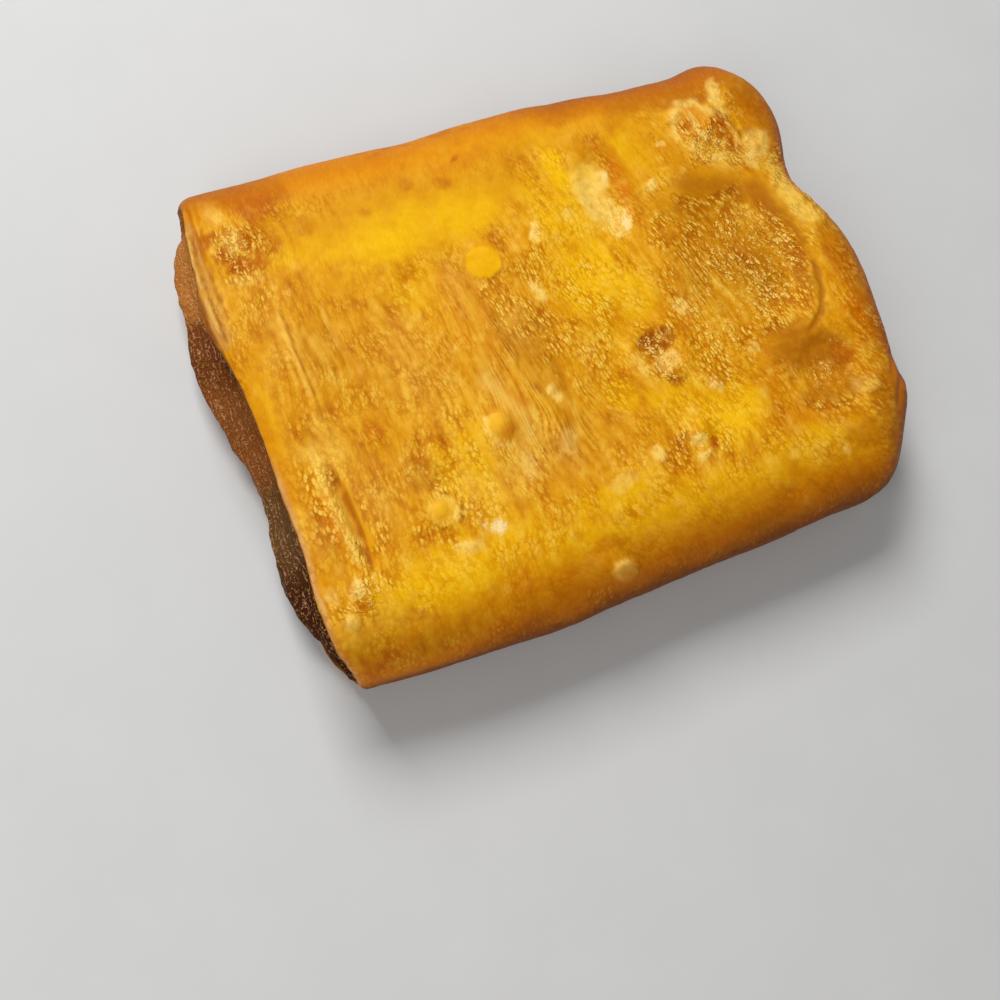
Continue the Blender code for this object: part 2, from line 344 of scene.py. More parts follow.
def lumps(points, size):
    """Smooth noise between -1 and 1 with lumps of the given size, or of one size for each axis."""
    scaled = points / np.broadcast_to(size, (3,))
    cell = np.floor(scaled).astype(np.int64)
    inside = scaled - cell
    fade = inside**3 * (inside * (inside * 6.0 - 15.0) + 10.0)
    total = np.zeros(len(scaled))
    for corner in product((0, 1), repeat=3):
        mixed = (cell + corner) * CELL_MIX
        slope = SLOPES[(mixed[:, 0] ^ mixed[:, 1] ^ mixed[:, 2]) % SLOPE_COUNT]
        weight = np.prod(np.where(corner, fade, 1.0 - fade), axis=1)
        total += weight * np.einsum("ij,ij->i", slope, inside - corner)
    return NOISE_GAIN * total


def layers(points, table):
    """The sum of several noises: the size and the height of each."""
    return sum(height * lumps(points, size) for size, height in table)


# Grid of a box, wrapped round the puff

def stations(low, high, low_round, high_round):
    """Grid stations across the puff: the flat stretch's point and the lean towards an edge."""
    edge = np.linspace(0.0, np.pi / 4, EDGE_ROWS + 1)[1:]
    start = low + low_round
    end = high - high_round
    count = round((end - start) / FLAT_SPACING)
    flat = np.linspace(start, end, count + 1)
    place = np.concatenate([np.full(EDGE_ROWS, start), flat, np.full(EDGE_ROWS, end)])
    lean = np.concatenate([-np.tan(edge)[::-1], np.zeros(count + 1), np.tan(edge)])
    return place, lean


def side_quads(sizes, axis, far):
    """The corners of all quads of one side of the box."""
    across, up = (axis + 1) % 3, (axis + 2) % 3
    i, j = np.meshgrid(np.arange(sizes[across]), np.arange(sizes[up]), indexing="ij")
    steps = ((0, 0), (1, 0), (1, 1), (0, 1)) if far else ((0, 1), (1, 1), (1, 0), (0, 0))
    corners = np.zeros((i.size, 4, 3), int)
    corners[..., axis] = sizes[axis] if far else 0
    for corner, (step_i, step_j) in enumerate(steps):
        corners[:, corner, across] = i.ravel() + step_i
        corners[:, corner, up] = j.ravel() + step_j
    return corners


def run(start, end, every):
    """Whole numbers from start towards end, which is left out: every one, or only the first."""
    step = 1 if end > start else -1
    return list(range(start, end, step)) if every else [start]


def base_cells(sizes):
    """The wide cells of the underside. They keep every grid point on the underside's own edge."""
    marks = [sorted({*range(0, size, BASE_CELL), size}) for size in sizes[:2]]
    for i0, i1 in zip(marks[0], marks[0][1:]):
        for j0, j1 in zip(marks[1], marks[1][1:]):
            cell = [(i, j0) for i in run(i0, i1, j0 == 0)]
            cell += [(i1, j) for j in run(j0, j1, i1 == sizes[0])]
            cell += [(i, j1) for i in run(i1, i0, j1 == sizes[1])]
            cell += [(i0, j) for j in run(j1, j0, i0 == 0)]
            yield [(i, j, 0) for i, j in reversed(cell)]


def box_grid(sizes):
    """The points of the box's grid, as whole numbers along X, Y and Z, and its faces."""
    sides = [(0, False), (0, True), (1, False), (1, True), (2, True)]
    quads = np.concatenate([side_quads(sizes, axis, far) for axis, far in sides])
    cells = list(base_cells(sizes))
    corners = np.concatenate([quads.reshape(-1, 3), np.array([c for cell in cells for c in cell])])
    points, index = np.unique(corners, axis=0, return_inverse=True)
    index = index.ravel()
    faces = index[: 4 * len(quads)].reshape(-1, 4).tolist()
    start = 4 * len(quads)
    for cell in cells:
        faces.append(index[start : start + len(cell)].tolist())
        start += len(cell)
    return points, faces


def wrap(points, columns, rows, levels):
    """Wrap the grid round the puff: rounded long sides and right end, nearly square left end."""
    x, lean_x = columns[0][points[:, 0]], columns[1][points[:, 0]]
    y, lean_y = rows[0][points[:, 1]], rows[1][points[:, 1]]
    lean = np.stack([lean_x, lean_y, levels[points[:, 2]]], axis=1)
    out = lean / np.linalg.norm(lean, axis=1, keepdims=True)
    level = np.maximum(np.hypot(out[:, 0], out[:, 1]), LEAST_LEVEL)
    under = out[:, 2] < 0
    power = np.where(under, 2.0 / BASE_SQUARENESS, 1.0)
    reach = level**power / level
    round_x = np.where(out[:, 0] < 0, LEFT_END_ROUND, RIGHT_END_ROUND)
    x = x + round_x * out[:, 0] * reach
    y = y + LONG_SIDE_ROUND * out[:, 1] * reach
    z = MIDDLE + MIDDLE * np.sign(out[:, 2]) * np.abs(out[:, 2]) ** power
    return np.stack([x, y, z], axis=1), out


# Large form, as in the solid

def shape_outline(place):
    """Make the plan outline uneven and round the right end's corners."""
    x, y = place[:, 0].copy(), place[:, 1].copy()
    near_right = smooth(RIGHT_START, LENGTH / 2, x)
    near_left = smooth(LEFT_START, -LENGTH / 2, x)
    x += near_right * swell(RIGHT_SWELLS, y) - near_left * swell(LIP_SWELLS, y)
    place[:, 1] += smooth(SIDE_START, WIDTH / 2, y) * swell(BACK_SWELLS, x)
    place[:, 1] -= smooth(-SIDE_START, -WIDTH / 2, y) * swell(FRONT_SWELLS, x)
    across = smooth(WIDTH / 2 - CORNER_REACH, WIDTH / 2, np.abs(y))
    corner = across * smooth(LENGTH / 2 - 2 * CORNER_REACH, LENGTH / 2, place[:, 0])
    place[:, 0] = x - RIGHT_CORNER * corner
    return place


def shape_left_end(place, out):
    """Cut the left end square and show the top layer's lip, the tucked layers and the lower one."""
    inward = MIDDLE * (1.0 - np.sqrt(np.clip(1.0 - out[:, 0] ** 2, 0.0, 1.0)))
    height = place[:, 2] / THICKNESS
    y = place[:, 1]
    lip = -LENGTH / 2 - swell(LIP_SWELLS, y)
    rim = 1.0 - np.clip(inward / LIP_ROUND, 0.0, 1.0)
    tuck = FRONT_TUCK * smooth(FRONT_TUCK_START, FRONT_TUCK_END, -y) * (1.0 - height)
    rounding = tuck + (LEFT_END_ROUND - tuck) * (1.0 - np.sqrt(1.0 - rim**2))
    open_part = smooth(0.0, END_FADE, WIDTH / 2 - END_MARGIN - np.abs(y))
    cut = smooth(LIP_ROUND, LIP_ROUND + CUT_STEP, inward) * open_part
    recess = LIP_OVERHANG - TUCK_OUT * bell(height - TUCK_HEIGHT, TUCK_SPREAD)
    lower = bell(height - LOWER_HEIGHT, LOWER_SPREAD)
    recess -= (LOWER_OUT + swell(LOWER_SWELLS, y)) * lower
    wall = lip + rounding + cut * recess
    place[:, 0] = np.where(out[:, 0] < 0, wall, place[:, 0])
    face = (out[:, 0] < 0) * smooth(*END_FACE, inward)
    return place, face, (out[:, 0] < 0) * bell(inward - RIM_LINE, RIM_LINE_WIDTH)


def hollow(x, y, middle_x, middle_y, left, right, front, back, depth):
    """A sunken place with its own half size on each side."""
    across = (x - middle_x) / np.where(x < middle_x, left, right)
    along = (y - middle_y) / np.where(y < middle_y, front, back)
    return -depth * (1.0 - smooth(HOLLOW_WALL, 1.0, np.hypot(across, along)))


def crater(x, y):
    """A sunken blister with a raised rim."""
    middle_x, middle_y, radius = CRATER
    reach = np.hypot(x - middle_x, y - middle_y) / radius
    return CRATER_RIM * bell(reach - 1.0, CRATER_RIM_WIDTH) - CRATER_DEPTH * bell(reach, CRATER_BOWL)


def crease(x, y, x1, y1, x2, y2, half_width, depth, ridge):
    """A crease between two points, with a ridge on its left."""
    length = np.hypot(x2 - x1, y2 - y1)
    along = ((x - x1) * (x2 - x1) + (y - y1) * (y2 - y1)) / length
    side = ((x - x1) * (y2 - y1) - (y - y1) * (x2 - x1)) / length
    ends = smooth(-CREASE_END, CREASE_END, along) * smooth(-CREASE_END, CREASE_END, length - along)
    groove = depth * bell(side, half_width)
    return ends * (ridge * bell(side - RIDGE_PLACE * half_width, RIDGE_WIDTH * half_width) - groove)


def top_relief(x, y):
    """The large relief of the top, above its even surface."""
    relief = DOME * np.clip(1.0 - (2 * x / LENGTH) ** 2, 0, 1) * np.clip(1.0 - (2 * y / WIDTH) ** 2, 0, 1)
    for values in HOLLOWS:
        relief += hollow(x, y, *values)
    for middle_x, middle_y, long, wide, height in SWELLINGS:
        relief += height * bell(np.hypot((x - middle_x) / long, (y - middle_y) / wide), 1.0)
    for middle_x, middle_y, radius, height in BLISTERS:
        relief += height * bell(np.hypot(x - middle_x, y - middle_y), BLISTER_SPREAD * radius)
    for values in CREASES:
        relief += crease(x, y, *values)
    return relief + crater(x, y)


def seam_relief(x, y):
    """How far the underside rises beside the overlapping edge of the sheet."""
    beside = SEAM_PLACE + SEAM_WANDER * np.sin(x / SEAM_WAVE) - y
    step = smooth(0.0, SEAM_EDGE, beside) * (1.0 - smooth(SEAM_EDGE, SEAM_FADE, beside))
    inner = smooth(0.0, SEAM_MARGIN, LENGTH / 2 - np.abs(x))
    return SEAM_STEP * step * inner


# Fine relief

def line_distance(x, y, points):
    """Distance in plan from a bent line."""
    best = np.full(len(x), np.inf)
    for (x1, y1), (x2, y2) in zip(points, points[1:]):
        length2 = (x2 - x1) ** 2 + (y2 - y1) ** 2
        share = np.clip(((x - x1) * (x2 - x1) + (y - y1) * (y2 - y1)) / length2, 0.0, 1.0)
        distance = np.hypot(x - x1 - share * (x2 - x1), y - y1 - share * (y2 - y1))
        best = np.minimum(best, distance)
    return best


def seen(place):
    """Where the camera sees each point on the level plane of the top, in which the marks are given."""
    shift = np.array([*FRAME_SHIFT, 0.0])
    away = place + shift - np.array(CAMERA_PLACE)
    lift = np.clip(place[:, 2:] - THICKNESS, *LIFT_RANGE)
    moved = place + lift * away / (CAMERA_PLACE[2] - THICKNESS)
    return np.concatenate([moved[:, :2], place[:, 2:]], axis=1)


def patch(x, y, middle_x, middle_y, half_x, half_y, edge=NEAR_EDGE):
    """A soft-edged oval patch: 1 inside, 0 outside."""
    return 1.0 - smooth(edge, 1.0, np.hypot((x - middle_x) / half_x, (y - middle_y) / half_y))


def along_grain(place):
    """Coordinates that run with the stretched dough, in millimetres."""
    wave_size, wave_reach = GRAIN_WAVE
    across = (place[:, 0] + LENGTH / 2) * np.exp(GRAIN_FAN * place[:, 1])
    across += wave_reach * lumps(place, wave_size)
    return np.stack([across, place[:, 1], place[:, 2]], axis=1)


def flow(place):
    """The grain's own coordinates, one unit for each bump."""
    return along_grain(place) / np.array([GRAIN_WIDTH, GRAIN_LENGTH, GRAIN_LENGTH])


def grain_lines(place):
    """Long thin lines that run with the dough: 1 in the middle of a line."""
    shown = smooth(*LINE_GAPS, lumps(place, LINE_GAP_SIZE))
    return shown * bell(lumps(along_grain(place), LINE_SIZE), LINE_SHARE)


def small_blisters(x, y):
    """Heights of many small blisters."""
    draw = np.random.default_rng(SMALL_SEED)
    order = np.argsort(x)
    sorted_x = x[order]
    relief = np.zeros(len(x))
    for _ in range(SMALL_BLISTERS):
        middle_x = draw.uniform(-LENGTH / 2, LENGTH / 2)
        middle_y = draw.uniform(-WIDTH / 2, WIDTH / 2)
        radius = SMALL_RADII[0] + (SMALL_RADII[1] - SMALL_RADII[0]) * draw.random() ** SMALL_RARITY
        height = draw.uniform(*SMALL_RISE) * radius
        reach = SMALL_REACH * radius
        first, last = np.searchsorted(sorted_x, (middle_x - reach, middle_x + reach))
        near = order[first:last]
        near = near[np.abs(y[near] - middle_y) < reach]
        if len(near):
            distance = np.hypot(x[near] - middle_x, (y[near] - middle_y) / SMALL_LONG)
            relief[near] = np.maximum(relief[near], height * bell(distance, SMALL_SPREAD * radius))
    return relief


def fine_top(place, pebbled, blisters):
    """Lines, rings, burst blisters, small blisters and grain of the top."""
    x, y = place[:, 0], place[:, 1]
    relief = np.zeros(len(x))
    for points, half_width, height in LINES:
        relief += height * bell(line_distance(x, y, points), half_width)
    uneven = lumps(place, RING_NOISE)
    for middle_x, middle_y, radius, ring, middle in RINGS:
        reach = np.hypot(x - middle_x, y - middle_y) / radius * (1.0 + RING_BEND * uneven)
        relief += ring * (RING_LEAST + uneven) * bell(reach - 1.0, RING_WIDTH)
        relief += middle * bell(reach, RING_MIDDLE)
    for middle_x, middle_y, half_x, half_y, height in DOMES:
        relief += height * patch(x, y, middle_x, middle_y, half_x, half_y, DOME_EDGE)
    torn = TORN_GAIN * np.abs(lumps(place, TORN_SIZE)) - TORN_DROP
    for middle_x, middle_y, half_x, half_y, height in ROUGH:
        relief += height * torn * patch(x, y, middle_x, middle_y, half_x, half_y)
    relief += SMALL_HEIGHT * blisters * (SMALL_LEAST + (1.0 - SMALL_LEAST) * pebbled)
    relief += GRAIN_HEIGHT * lumps(flow(place), 1.0) * (GRAIN_LEAST + pebbled)
    relief -= LINE_DEPTH * grain_lines(place) * pebbled
    fibres = patches(x, y, FIBROUS_PATCHES, WIDE_EDGE)
    relief += FIBRE_HEIGHT * fibres * lumps(along_grain(place), FIBRE_SIZE)
    return relief + PEBBLE_HEIGHT * lumps(place, PEBBLE_SIZE) * (PEBBLE_LEAST + pebbled)


def add_relief(place, out):
    """Raise and sink the crust as in the solid."""
    x, y = place[:, 0].copy(), place[:, 1].copy()
    upper = smooth(*UPPER_PART, out[:, 2]) * (1.0 - smooth(*LEFT_WALL, -out[:, 0]))
    height = sum(rise * solid_lumps(place, size) for size, rise in LUMPS)
    pinch = bell(place[:, 2] / THICKNESS - PINCH_HEIGHT, PINCH_SPREAD) * smooth(*PINCH_END, out[:, 0])
    height -= PINCH_DEPTH * pinch * smooth(*PINCH_FADE, y)
    place += out * (upper * height)[:, None]
    place[:, 2] += smooth(*TOP_PART, out[:, 2]) * top_relief(x, y)
    place[:, 2] += smooth(*BASE_PART, out[:, 2]) * seam_relief(x, y)
    return place


def add_fine_relief(place, marks, out, wall, pebbled, blisters):
    """Raise and sink the crust where the solid is plain."""
    start = place.copy()
    upper = smooth(*UPPER_PART, out[:, 2]) * (1.0 - smooth(*LEFT_WALL, -out[:, 0]))
    facing_up = smooth(*FINE_PART, out[:, 2])
    place += out * (upper * facing_up * fine_top(marks, pebbled, blisters))[:, None]
    side = (1.0 - facing_up) * smooth(*SIDE_PART, out[:, 2])
    place += out * (side * layers(start, SIDE_LAYERS))[:, None]
    dimples = DIMPLE_DEPTH * smooth(*DIMPLE_RANGE, lumps(start, DIMPLE_SIZE))
    place[:, 2] += smooth(*BASE_PART, out[:, 2]) * dimples
    place[:, 0] += wall * layers(start, WALL_LAYERS)
    near_lip = bell(start[:, 0] + LENGTH / 2, LIP_REACH) * smooth(*LEVEL_PART, out[:, 2])
    place[:, 0] += near_lip * layers(start + LIP_STEP, LIP_LAYERS)
    return place


# Colours of the crust, as they look in daylight (red, green and blue from 0 to 255)
GOLD = (226, 156, 12)
AMBER = (244, 180, 4)
YELLOW = (248, 190, 6)
TAN = (220, 150, 28)
ROSE = (226, 162, 54)
PINK_TAN = (206, 146, 72)
RIM_BROWN = (204, 124, 8)
PALE = (255, 214, 108)
PALE_DOUGH = (252, 202, 76)
WHITE = (255, 226, 160)
CREAM = (252, 208, 112)
ORANGE = (218, 126, 2)
OLIVE = (198, 132, 14)
UMBER = (172, 104, 10)
BRONZE = (190, 116, 10)
CHESTNUT = (176, 98, 8)
HONEY = (216, 138, 4)
RUSSET = (184, 88, 4)
SIENNA = (178, 92, 4)
BROWN = (122, 62, 6)
# Painted shadow in the recess under the lip of the left end
TUCK_SHADOW = (66, 30, 8)
FIBRE = (222, 168, 118)

# Mottling: sizes across, along and up, with their shares, and how strongly it darkens and pales
STREAK_NOISE = (((3.6, 16.0, 8.0), 0.4), ((1.1, 6.0, 4.0), 0.6))
CLOUD_NOISE = ((9.0, 0.2), (3.6, 0.25), (1.7, 0.25))
DEEP_TINT = (0.80, 0.62, 0.40)
PALE_TINT = (1.10, 1.22, 1.3)
PALE_SHARE = 0.7
MOTTLE_DEEP = 1.4
MOTTLE_PALE = 1.1

# Broad patches of the top, with soft edges: middle x and y, half sizes along x and y, strength
BROAD_PATCHES = (
    (TAN, (
        (-37, 4, 18, 18, 0.6), (-14, 4, 11, 18, 0.7), (-10, -20, 14, 14, 0.6), (-52, 18, 9, 16, 0.8),
        (25, 5, 9, 14, 0.6), (2, -22, 9, 10, 0.5), (-38, -18, 9, 9, 0.7), (-46, -22, 7, 12, 0.5),
    )),
    (YELLOW, (
        (-28, 26, 19, 9, 1), (-12, 26, 13, 9, 0.9), (-42, 28, 9, 6, 0.6), (9, 30, 4, 9, 0.8),
        (8, 9, 12, 17, 0.95), (1, 8, 7, 13, 0.5), (23, 30, 6, 8, 0.6), (20, -27, 12, 11, 0.9),
        (12, -20, 13, 7, 0.7), (-27, -20, 5, 16, 0.75), (-45, -38, 17, 7, 0.75), (-57, 1, 2.6, 8, 0.4),
        (32, -35, 13, 5, 0.55), (-3, -33.5, 10, 5, 0.6), (-28, -34, 13, 6, 0.7), (28, 24, 3, 5, 0.3),
        (35, -4, 7, 6, 0.25), (52, 8, 4, 9, 0.4), (4, 22, 10, 13, 0.8), (6, -3, 7, 10, 0.6),
        (0, -38, 62, 5.5, 0.6), (-52, -42, 8, 5, 0.4), (-26, 15, 7, 10, 0.45), (-36, -38, 14, 7, 0.8),
        (-36, -26, 6, 6, 0.8),
    )),
    (ROSE, (
        (-17, -21, 8, 9, 0.7), (-9, -22, 4, 7, 0.7), (-57.5, -24, 3.5, 9, 0.6), (-52, 12, 4, 12, 0.5),
        (-11, 0, 4, 6, 0.6), (-52, -8, 3, 12, 0.5), (-30, -2, 10, 18, 0.3), (-46, -20, 6, 11, 0.5),
        (-18, 14, 3.5, 6, 0.5), (-60.3, 24, 2.2, 14, 0.9), (-19, -8, 5, 9, 0.45), (21, -4, 3.5, 6, 0.4),
    )),
    (ORANGE, (
        (-30, 44, 38, 9, 0.9), (2, 45, 30, 9, 0.9), (32, 43, 30, 9, 1), (53.5, 31, 6, 12, 0.8),
        (-47, 40, 8, 7, 0.8), (-9, 37, 13, 3.6, 0.5), (5.5, 25, 1.2, 4, 0.3), (-2, 24, 2, 4, 0.3),
        (4.8, -14, 1.8, 9, 0.35), (31.5, -20, 5, 7, 0.5), (36, -30, 14, 4.5, 0.5), (55, -12, 7, 18, 0.9),
        (-22, -42, 20, 3.5, 0.5), (-55, -46.5, 9, 3, 0.7), (-20, 8, 3, 10, 0.4), (-43.5, -9, 2.2, 3, 0.5),
        (27, 10, 4, 8, 0.3),
    )),
    (PALE_DOUGH, (
        (-52, -41, 10, 4.5, 0.3), (-50, -10, 5.5, 11, 0.4), (-20, -24, 12, 7, 0.35), (-33, -24, 7, 7, 0.4),
    )),
    (OLIVE, (
        (36, 2, 15, 19, 0.8), (-46.5, 8, 4.5, 11, 0.6), (27, 16, 6, 6, 0.5), (40, -19, 11, 9, 0.8),
        (45.5, -5, 3.5, 9, 1), (44.5, 9, 3.5, 5, 0.9),
    )),
)

# Smaller patches, which lie on the broad ones in this order: middle x and y, half sizes, strength
NEAR_PATCHES = (
    (SIENNA, (
        (39, 39.5, 12, 4.5, 0.8), (15, 40.5, 7, 3, 0.4), (51.5, 37, 4, 6, 0.7), (52.5, -33, 4, 4, 0.5),
        (35, 42.5, 15, 5.5, 0.9), (50, 43, 9, 6, 0.8), (54.5, 33, 5, 12, 0.6), (-47, 40.5, 8, 5, 0.7),
        (58, -18, 4.5, 13, 0.7), (54, -30, 5, 5, 0.6), (12, 45, 14, 4, 0.7), (0, 48.5, 70, 5, 0.9),
        (32, 41, 14, 4, 0.6), (55, -2, 4.5, 12, 0.55), (19.5, 27, 2.2, 7, 0.4),
    )),
    (YELLOW, (
        (7, 20, 6, 6, 0.6), (5, 6, 7, 9, 0.6), (8.6, 30, 2.2, 6, 0.8), (12, 2, 6, 6, 0.5),
        (-38, -36, 12, 6, 0.4), (3, -16, 4, 4.5, 0.6), (21, -24, 8, 6, 0.5), (-33, -21, 3, 9, 0.5),
        (-8, -33, 8, 3, 0.5),
    )),
    (BRONZE, (
        (12.8, -8.2, 5, 3.6, 0.5), (40, -27.5, 7, 4, 0.75), (45, -27, 4, 4, 0.8), (38, 15, 6, 3.5, 0.5),
        (46, -37, 8, 4, 0.6), (51, -33, 4, 4, 0.8), (33, 39.5, 14, 4, 0.7), (42, 40.5, 10, 4, 0.9),
        (51.5, 38.5, 4, 5, 0.9), (45.5, 13, 2.6, 7, 0.6), (46, -3, 2.6, 8, 0.6), (47, -21, 5, 6, 0.4),
        (35, -13, 4, 3, 0.5), (44, -26, 4, 2.5, 0.5), (31, 16, 5, 4, 0.5),
    )),
    (CHESTNUT, (
        (40, -18, 8.6, 5.6, 0.75), (44, -21.5, 5.5, 4.5, 0.6), (37, -13.5, 5.5, 2.6, 0.55),
    )),
    (HONEY, (
        (20.3, 24, 2.4, 10, 0.9), (16, 33.5, 4, 3, 0.5), (53, 24, 3, 8, 0.6), (51, -24, 4, 6, 0.6),
        (32, 27, 3, 4, 0.5),
    )),
    (UMBER, (
        (-8.5, -1, 6, 9, 0.35), (45.5, -21, 4.5, 4.5, 0.3), (-9, -8.5, 4, 4.5, 0.35),
        (-13.6, 0, 1.7, 7, 0.55), (-6.6, 0, 1.7, 6, 0.4), (-36, -19, 4, 4, 0.3),
    )),
    (ORANGE, ((39, 32, 5, 5, 0.4),)),
    (PALE_DOUGH, ((42.5, 24, 4, 4.5, 0.5), (13, 26.5, 4.8, 5, 0.5))),
    (RUSSET, (
        (46.6, -21.8, 3, 3.6, 0.55), (15.1, -29.3, 1, 2.2, 0.9), (43.5, 30.5, 2.4, 3.2, 0.55),
        (36.8, 32.6, 2.3, 2, 0.5), (44.3, 25.5, 2, 1.8, 0.4), (10.2, -26.3, 2.4, 1.2, 0.45),
        (-9, 37.6, 1, 0.8, 0.7), (-57, 34.6, 2.4, 2, 0.8), (-55.6, 31, 2.4, 2.2, 0.7),
        (-52.6, 28.4, 4.4, 1.8, 0.7), (-47.6, 38, 4.5, 4, 0.5), (-49.8, 32, 2.6, 3.6, 0.5),
        (-47, 31, 2.4, 2.4, 0.5), (-50, 41.5, 4, 2.2, 0.6), (-41, 33, 2.4, 2, 0.3),
        (-53.6, -36.9, 2, 0.9, 0.45), (-20, 34.8, 1.6, 2, 0.4), (-13.5, 34, 2.2, 1.6, 0.4),
        (-28.5, 32.3, 1.2, 1.2, 0.4), (9, -28, 1.4, 2.6, 0.4), (-0.8, -10.4, 0.9, 1.4, 0.5),
        (55.5, -29.5, 2.4, 5, 0.6), (40, 42, 14, 3.5, 0.6), (17.5, 33, 3, 2.6, 0.35),
        (-10, -40.5, 5, 1.6, 0.4), (52.5, -20.5, 1.5, 2.5, 0.3),
    )),
    # Among these, the small patches at (-4.6, 7.6) and (25.2, 22.2) are painted highlights, and the crater's
    # pale front wall at (12.6, -12.4) is partly painted highlight
    (PALE, (
        (-55, 39, 1.6, 3.4, 0.35), (-53.2, 33, 2, 3.4, 0.45), (-53.5, 25.5, 4, 2, 0.3),
        (-53.8, -34, 2, 1.5, 0.8), (-56.4, -38.8, 1.8, 2.2, 0.5), (-58, -34, 1.6, 1.6, 0.4),
        (-9.4, -46.2, 3, 2.4, 0.8), (-4.6, 7.6, 1.7, 2.6, 0.7), (-0.6, 18.3, 1.4, 2.2, 0.6),
        (20.8, -19.3, 1.4, 1.5, 0.4), (27, -45, 1.4, 1, 0.7), (-33, -33.5, 3, 1.6, 0.5),
        (45.6, 37, 2, 4, 0.45), (46, 33, 1.4, 1.6, 0.5), (39.6, 28.8, 1.3, 1.2, 0.8),
        (42.5, 27.3, 2.2, 0.7, 0.5), (48.7, 24.6, 2.8, 3.2, 0.45), (46.6, 21.4, 1.6, 2.2, 0.6),
        (51, 12, 2.4, 8, 0.6), (52.3, 7, 2.8, 2.6, 0.55), (29.7, -15.3, 1.6, 1.6, 0.5),
        (20.3, -3.5, 1.5, 2.4, 0.4), (12.6, -12.4, 3.6, 2, 0.75), (8.4, -11.5, 0.9, 2.8, 0.4),
        (7, 21, 1.5, 2, 0.4), (12.5, -27.6, 1.8, 1.5, 0.9), (12.5, -31, 1.9, 1.1, 0.65),
        (4.7, -29.3, 1.5, 2.4, 0.6), (-9.6, -21.6, 2.2, 2.8, 0.4), (-17.8, -23.6, 1.8, 3.6, 0.5),
        (-8.9, -10.8, 1, 1.8, 0.5), (25.2, 22.2, 1.6, 1.5, 0.9), (31.3, 29.8, 0.8, 0.8, 0.6),
        (47.8, -28.5, 3.4, 2.6, 0.3), (38.5, -38.8, 1.2, 1, 0.5), (-4, -31, 3.4, 1.6, 0.35),
        (-53.2, -13, 1.4, 6, 0.5), (-52.4, -27, 1, 4.5, 0.6), (-53, -20, 1.2, 6, 0.4),
    )),
)

# Patches with a clear edge, which lie on all others. On the bubble, the yellow upper left is painted
# highlight and the orange lower right painted shade
CLEAR_PATCHES = (
    (WHITE, ((-27.4, -31.6, 1.2, 1.5, 0.85), (-29.6, -30.4, 0.7, 0.5, 0.6), (-28.6, -31.6, 0.7, 0.6, 0.5))),
    (PALE_DOUGH, ((-20.9, -14.6, 2.5, 2.8, 0.45), (-35.9, -25.7, 2.8, 3, 0.35))),
    (GOLD, ((-20.6, -14.7, 2.1, 2.4, 0.6), (-36, -25.7, 2.5, 2.6, 0.35))),
    # Painted shade low on the bubble's right
    (ORANGE, ((-19.8, -15.8, 1.6, 1.9, 0.4),)),
    (YELLOW, ((-21.4, -14, 1.5, 1.8, 0.4), (-35.8, -25.2, 1.2, 1.5, 0.3))),
    (AMBER, ((-11.9, 16.1, 3.5, 3.4, 1),)),
)

# Patches with a torn edge, which lie on the streaks in this order
TORN_PATCHES = (
    (PALE_DOUGH, ((13.4, 25, 4.2, 5.6, 0.9), (14, 21.5, 3.4, 7, 0.9), (15.4, 18, 3, 4.4, 0.9))),
    (YELLOW, ((9.2, 31, 1.6, 4.6, 0.8), (-44, -38, 3, 1.6, 0.5))),
    # Among these, the small patches at (25.2, 22.2) and (-4.8, 8) are painted highlights, and the pale dent
    # round (16, 16) is pale dough with painted highlight
    (PALE, (
        (16, 16.6, 2.6, 3.4, 0.9), (15.9, 25.2, 1.9, 3.6, 0.6), (12.4, 23, 2.4, 5.2, 0.6),
        (14.8, 20, 2.4, 4, 0.6), (-0.5, 18.3, 1.2, 2.6, 0.7), (25.2, 22.2, 1.3, 1.2, 0.9),
        (-4.8, 8, 1.2, 2, 0.7), (45.4, 36.6, 1.8, 3.8, 0.6), (-53.8, -33.8, 1.3, 1.1, 0.9),
        (-56.2, -38.4, 1.2, 1.7, 0.6), (-9.6, -46, 2.4, 2, 0.9), (-28.2, -31.2, 2.2, 1.2, 0.6),
        (-33.4, -33.2, 1.6, 0.9, 0.5), (30.5, 29.6, 0.7, 0.7, 0.8), (36.8, 26, 1.2, 2.4, 0.5),
        (40.4, 23.4, 1.8, 1.2, 0.5), (20.3, -3.5, 1.5, 2.4, 0.5), (-9, -11, 0.8, 1.8, 0.6),
        (12.6, -27.4, 1.6, 1.4, 0.9), (12.4, -31.2, 1.7, 1.1, 0.8), (4.6, -29, 1.2, 2.1, 0.6),
        (20.8, -19.3, 1.3, 1.5, 0.5), (39.8, 28.4, 1, 1, 0.9),
    )),
    # White core of the pale dent: partly painted highlight
    (WHITE, ((17, 15.6, 1.2, 1.9, 0.6), (16.6, 26, 0.9, 1.1, 0.5))),
    # Crater: browner dough, with painted shade on its back wall
    (CHESTNUT, ((13.2, -8, 4, 2.7, 1), (13, -16, 2.6, 1.2, 0.7))),
)

# Flecks in the near and torn patches: their noise, and how strong the colour is between them
PATCH_FLECKS = (-0.35, 0.0)
NEAR_LEAST = 0.7
TORN_LEAST = 0.4

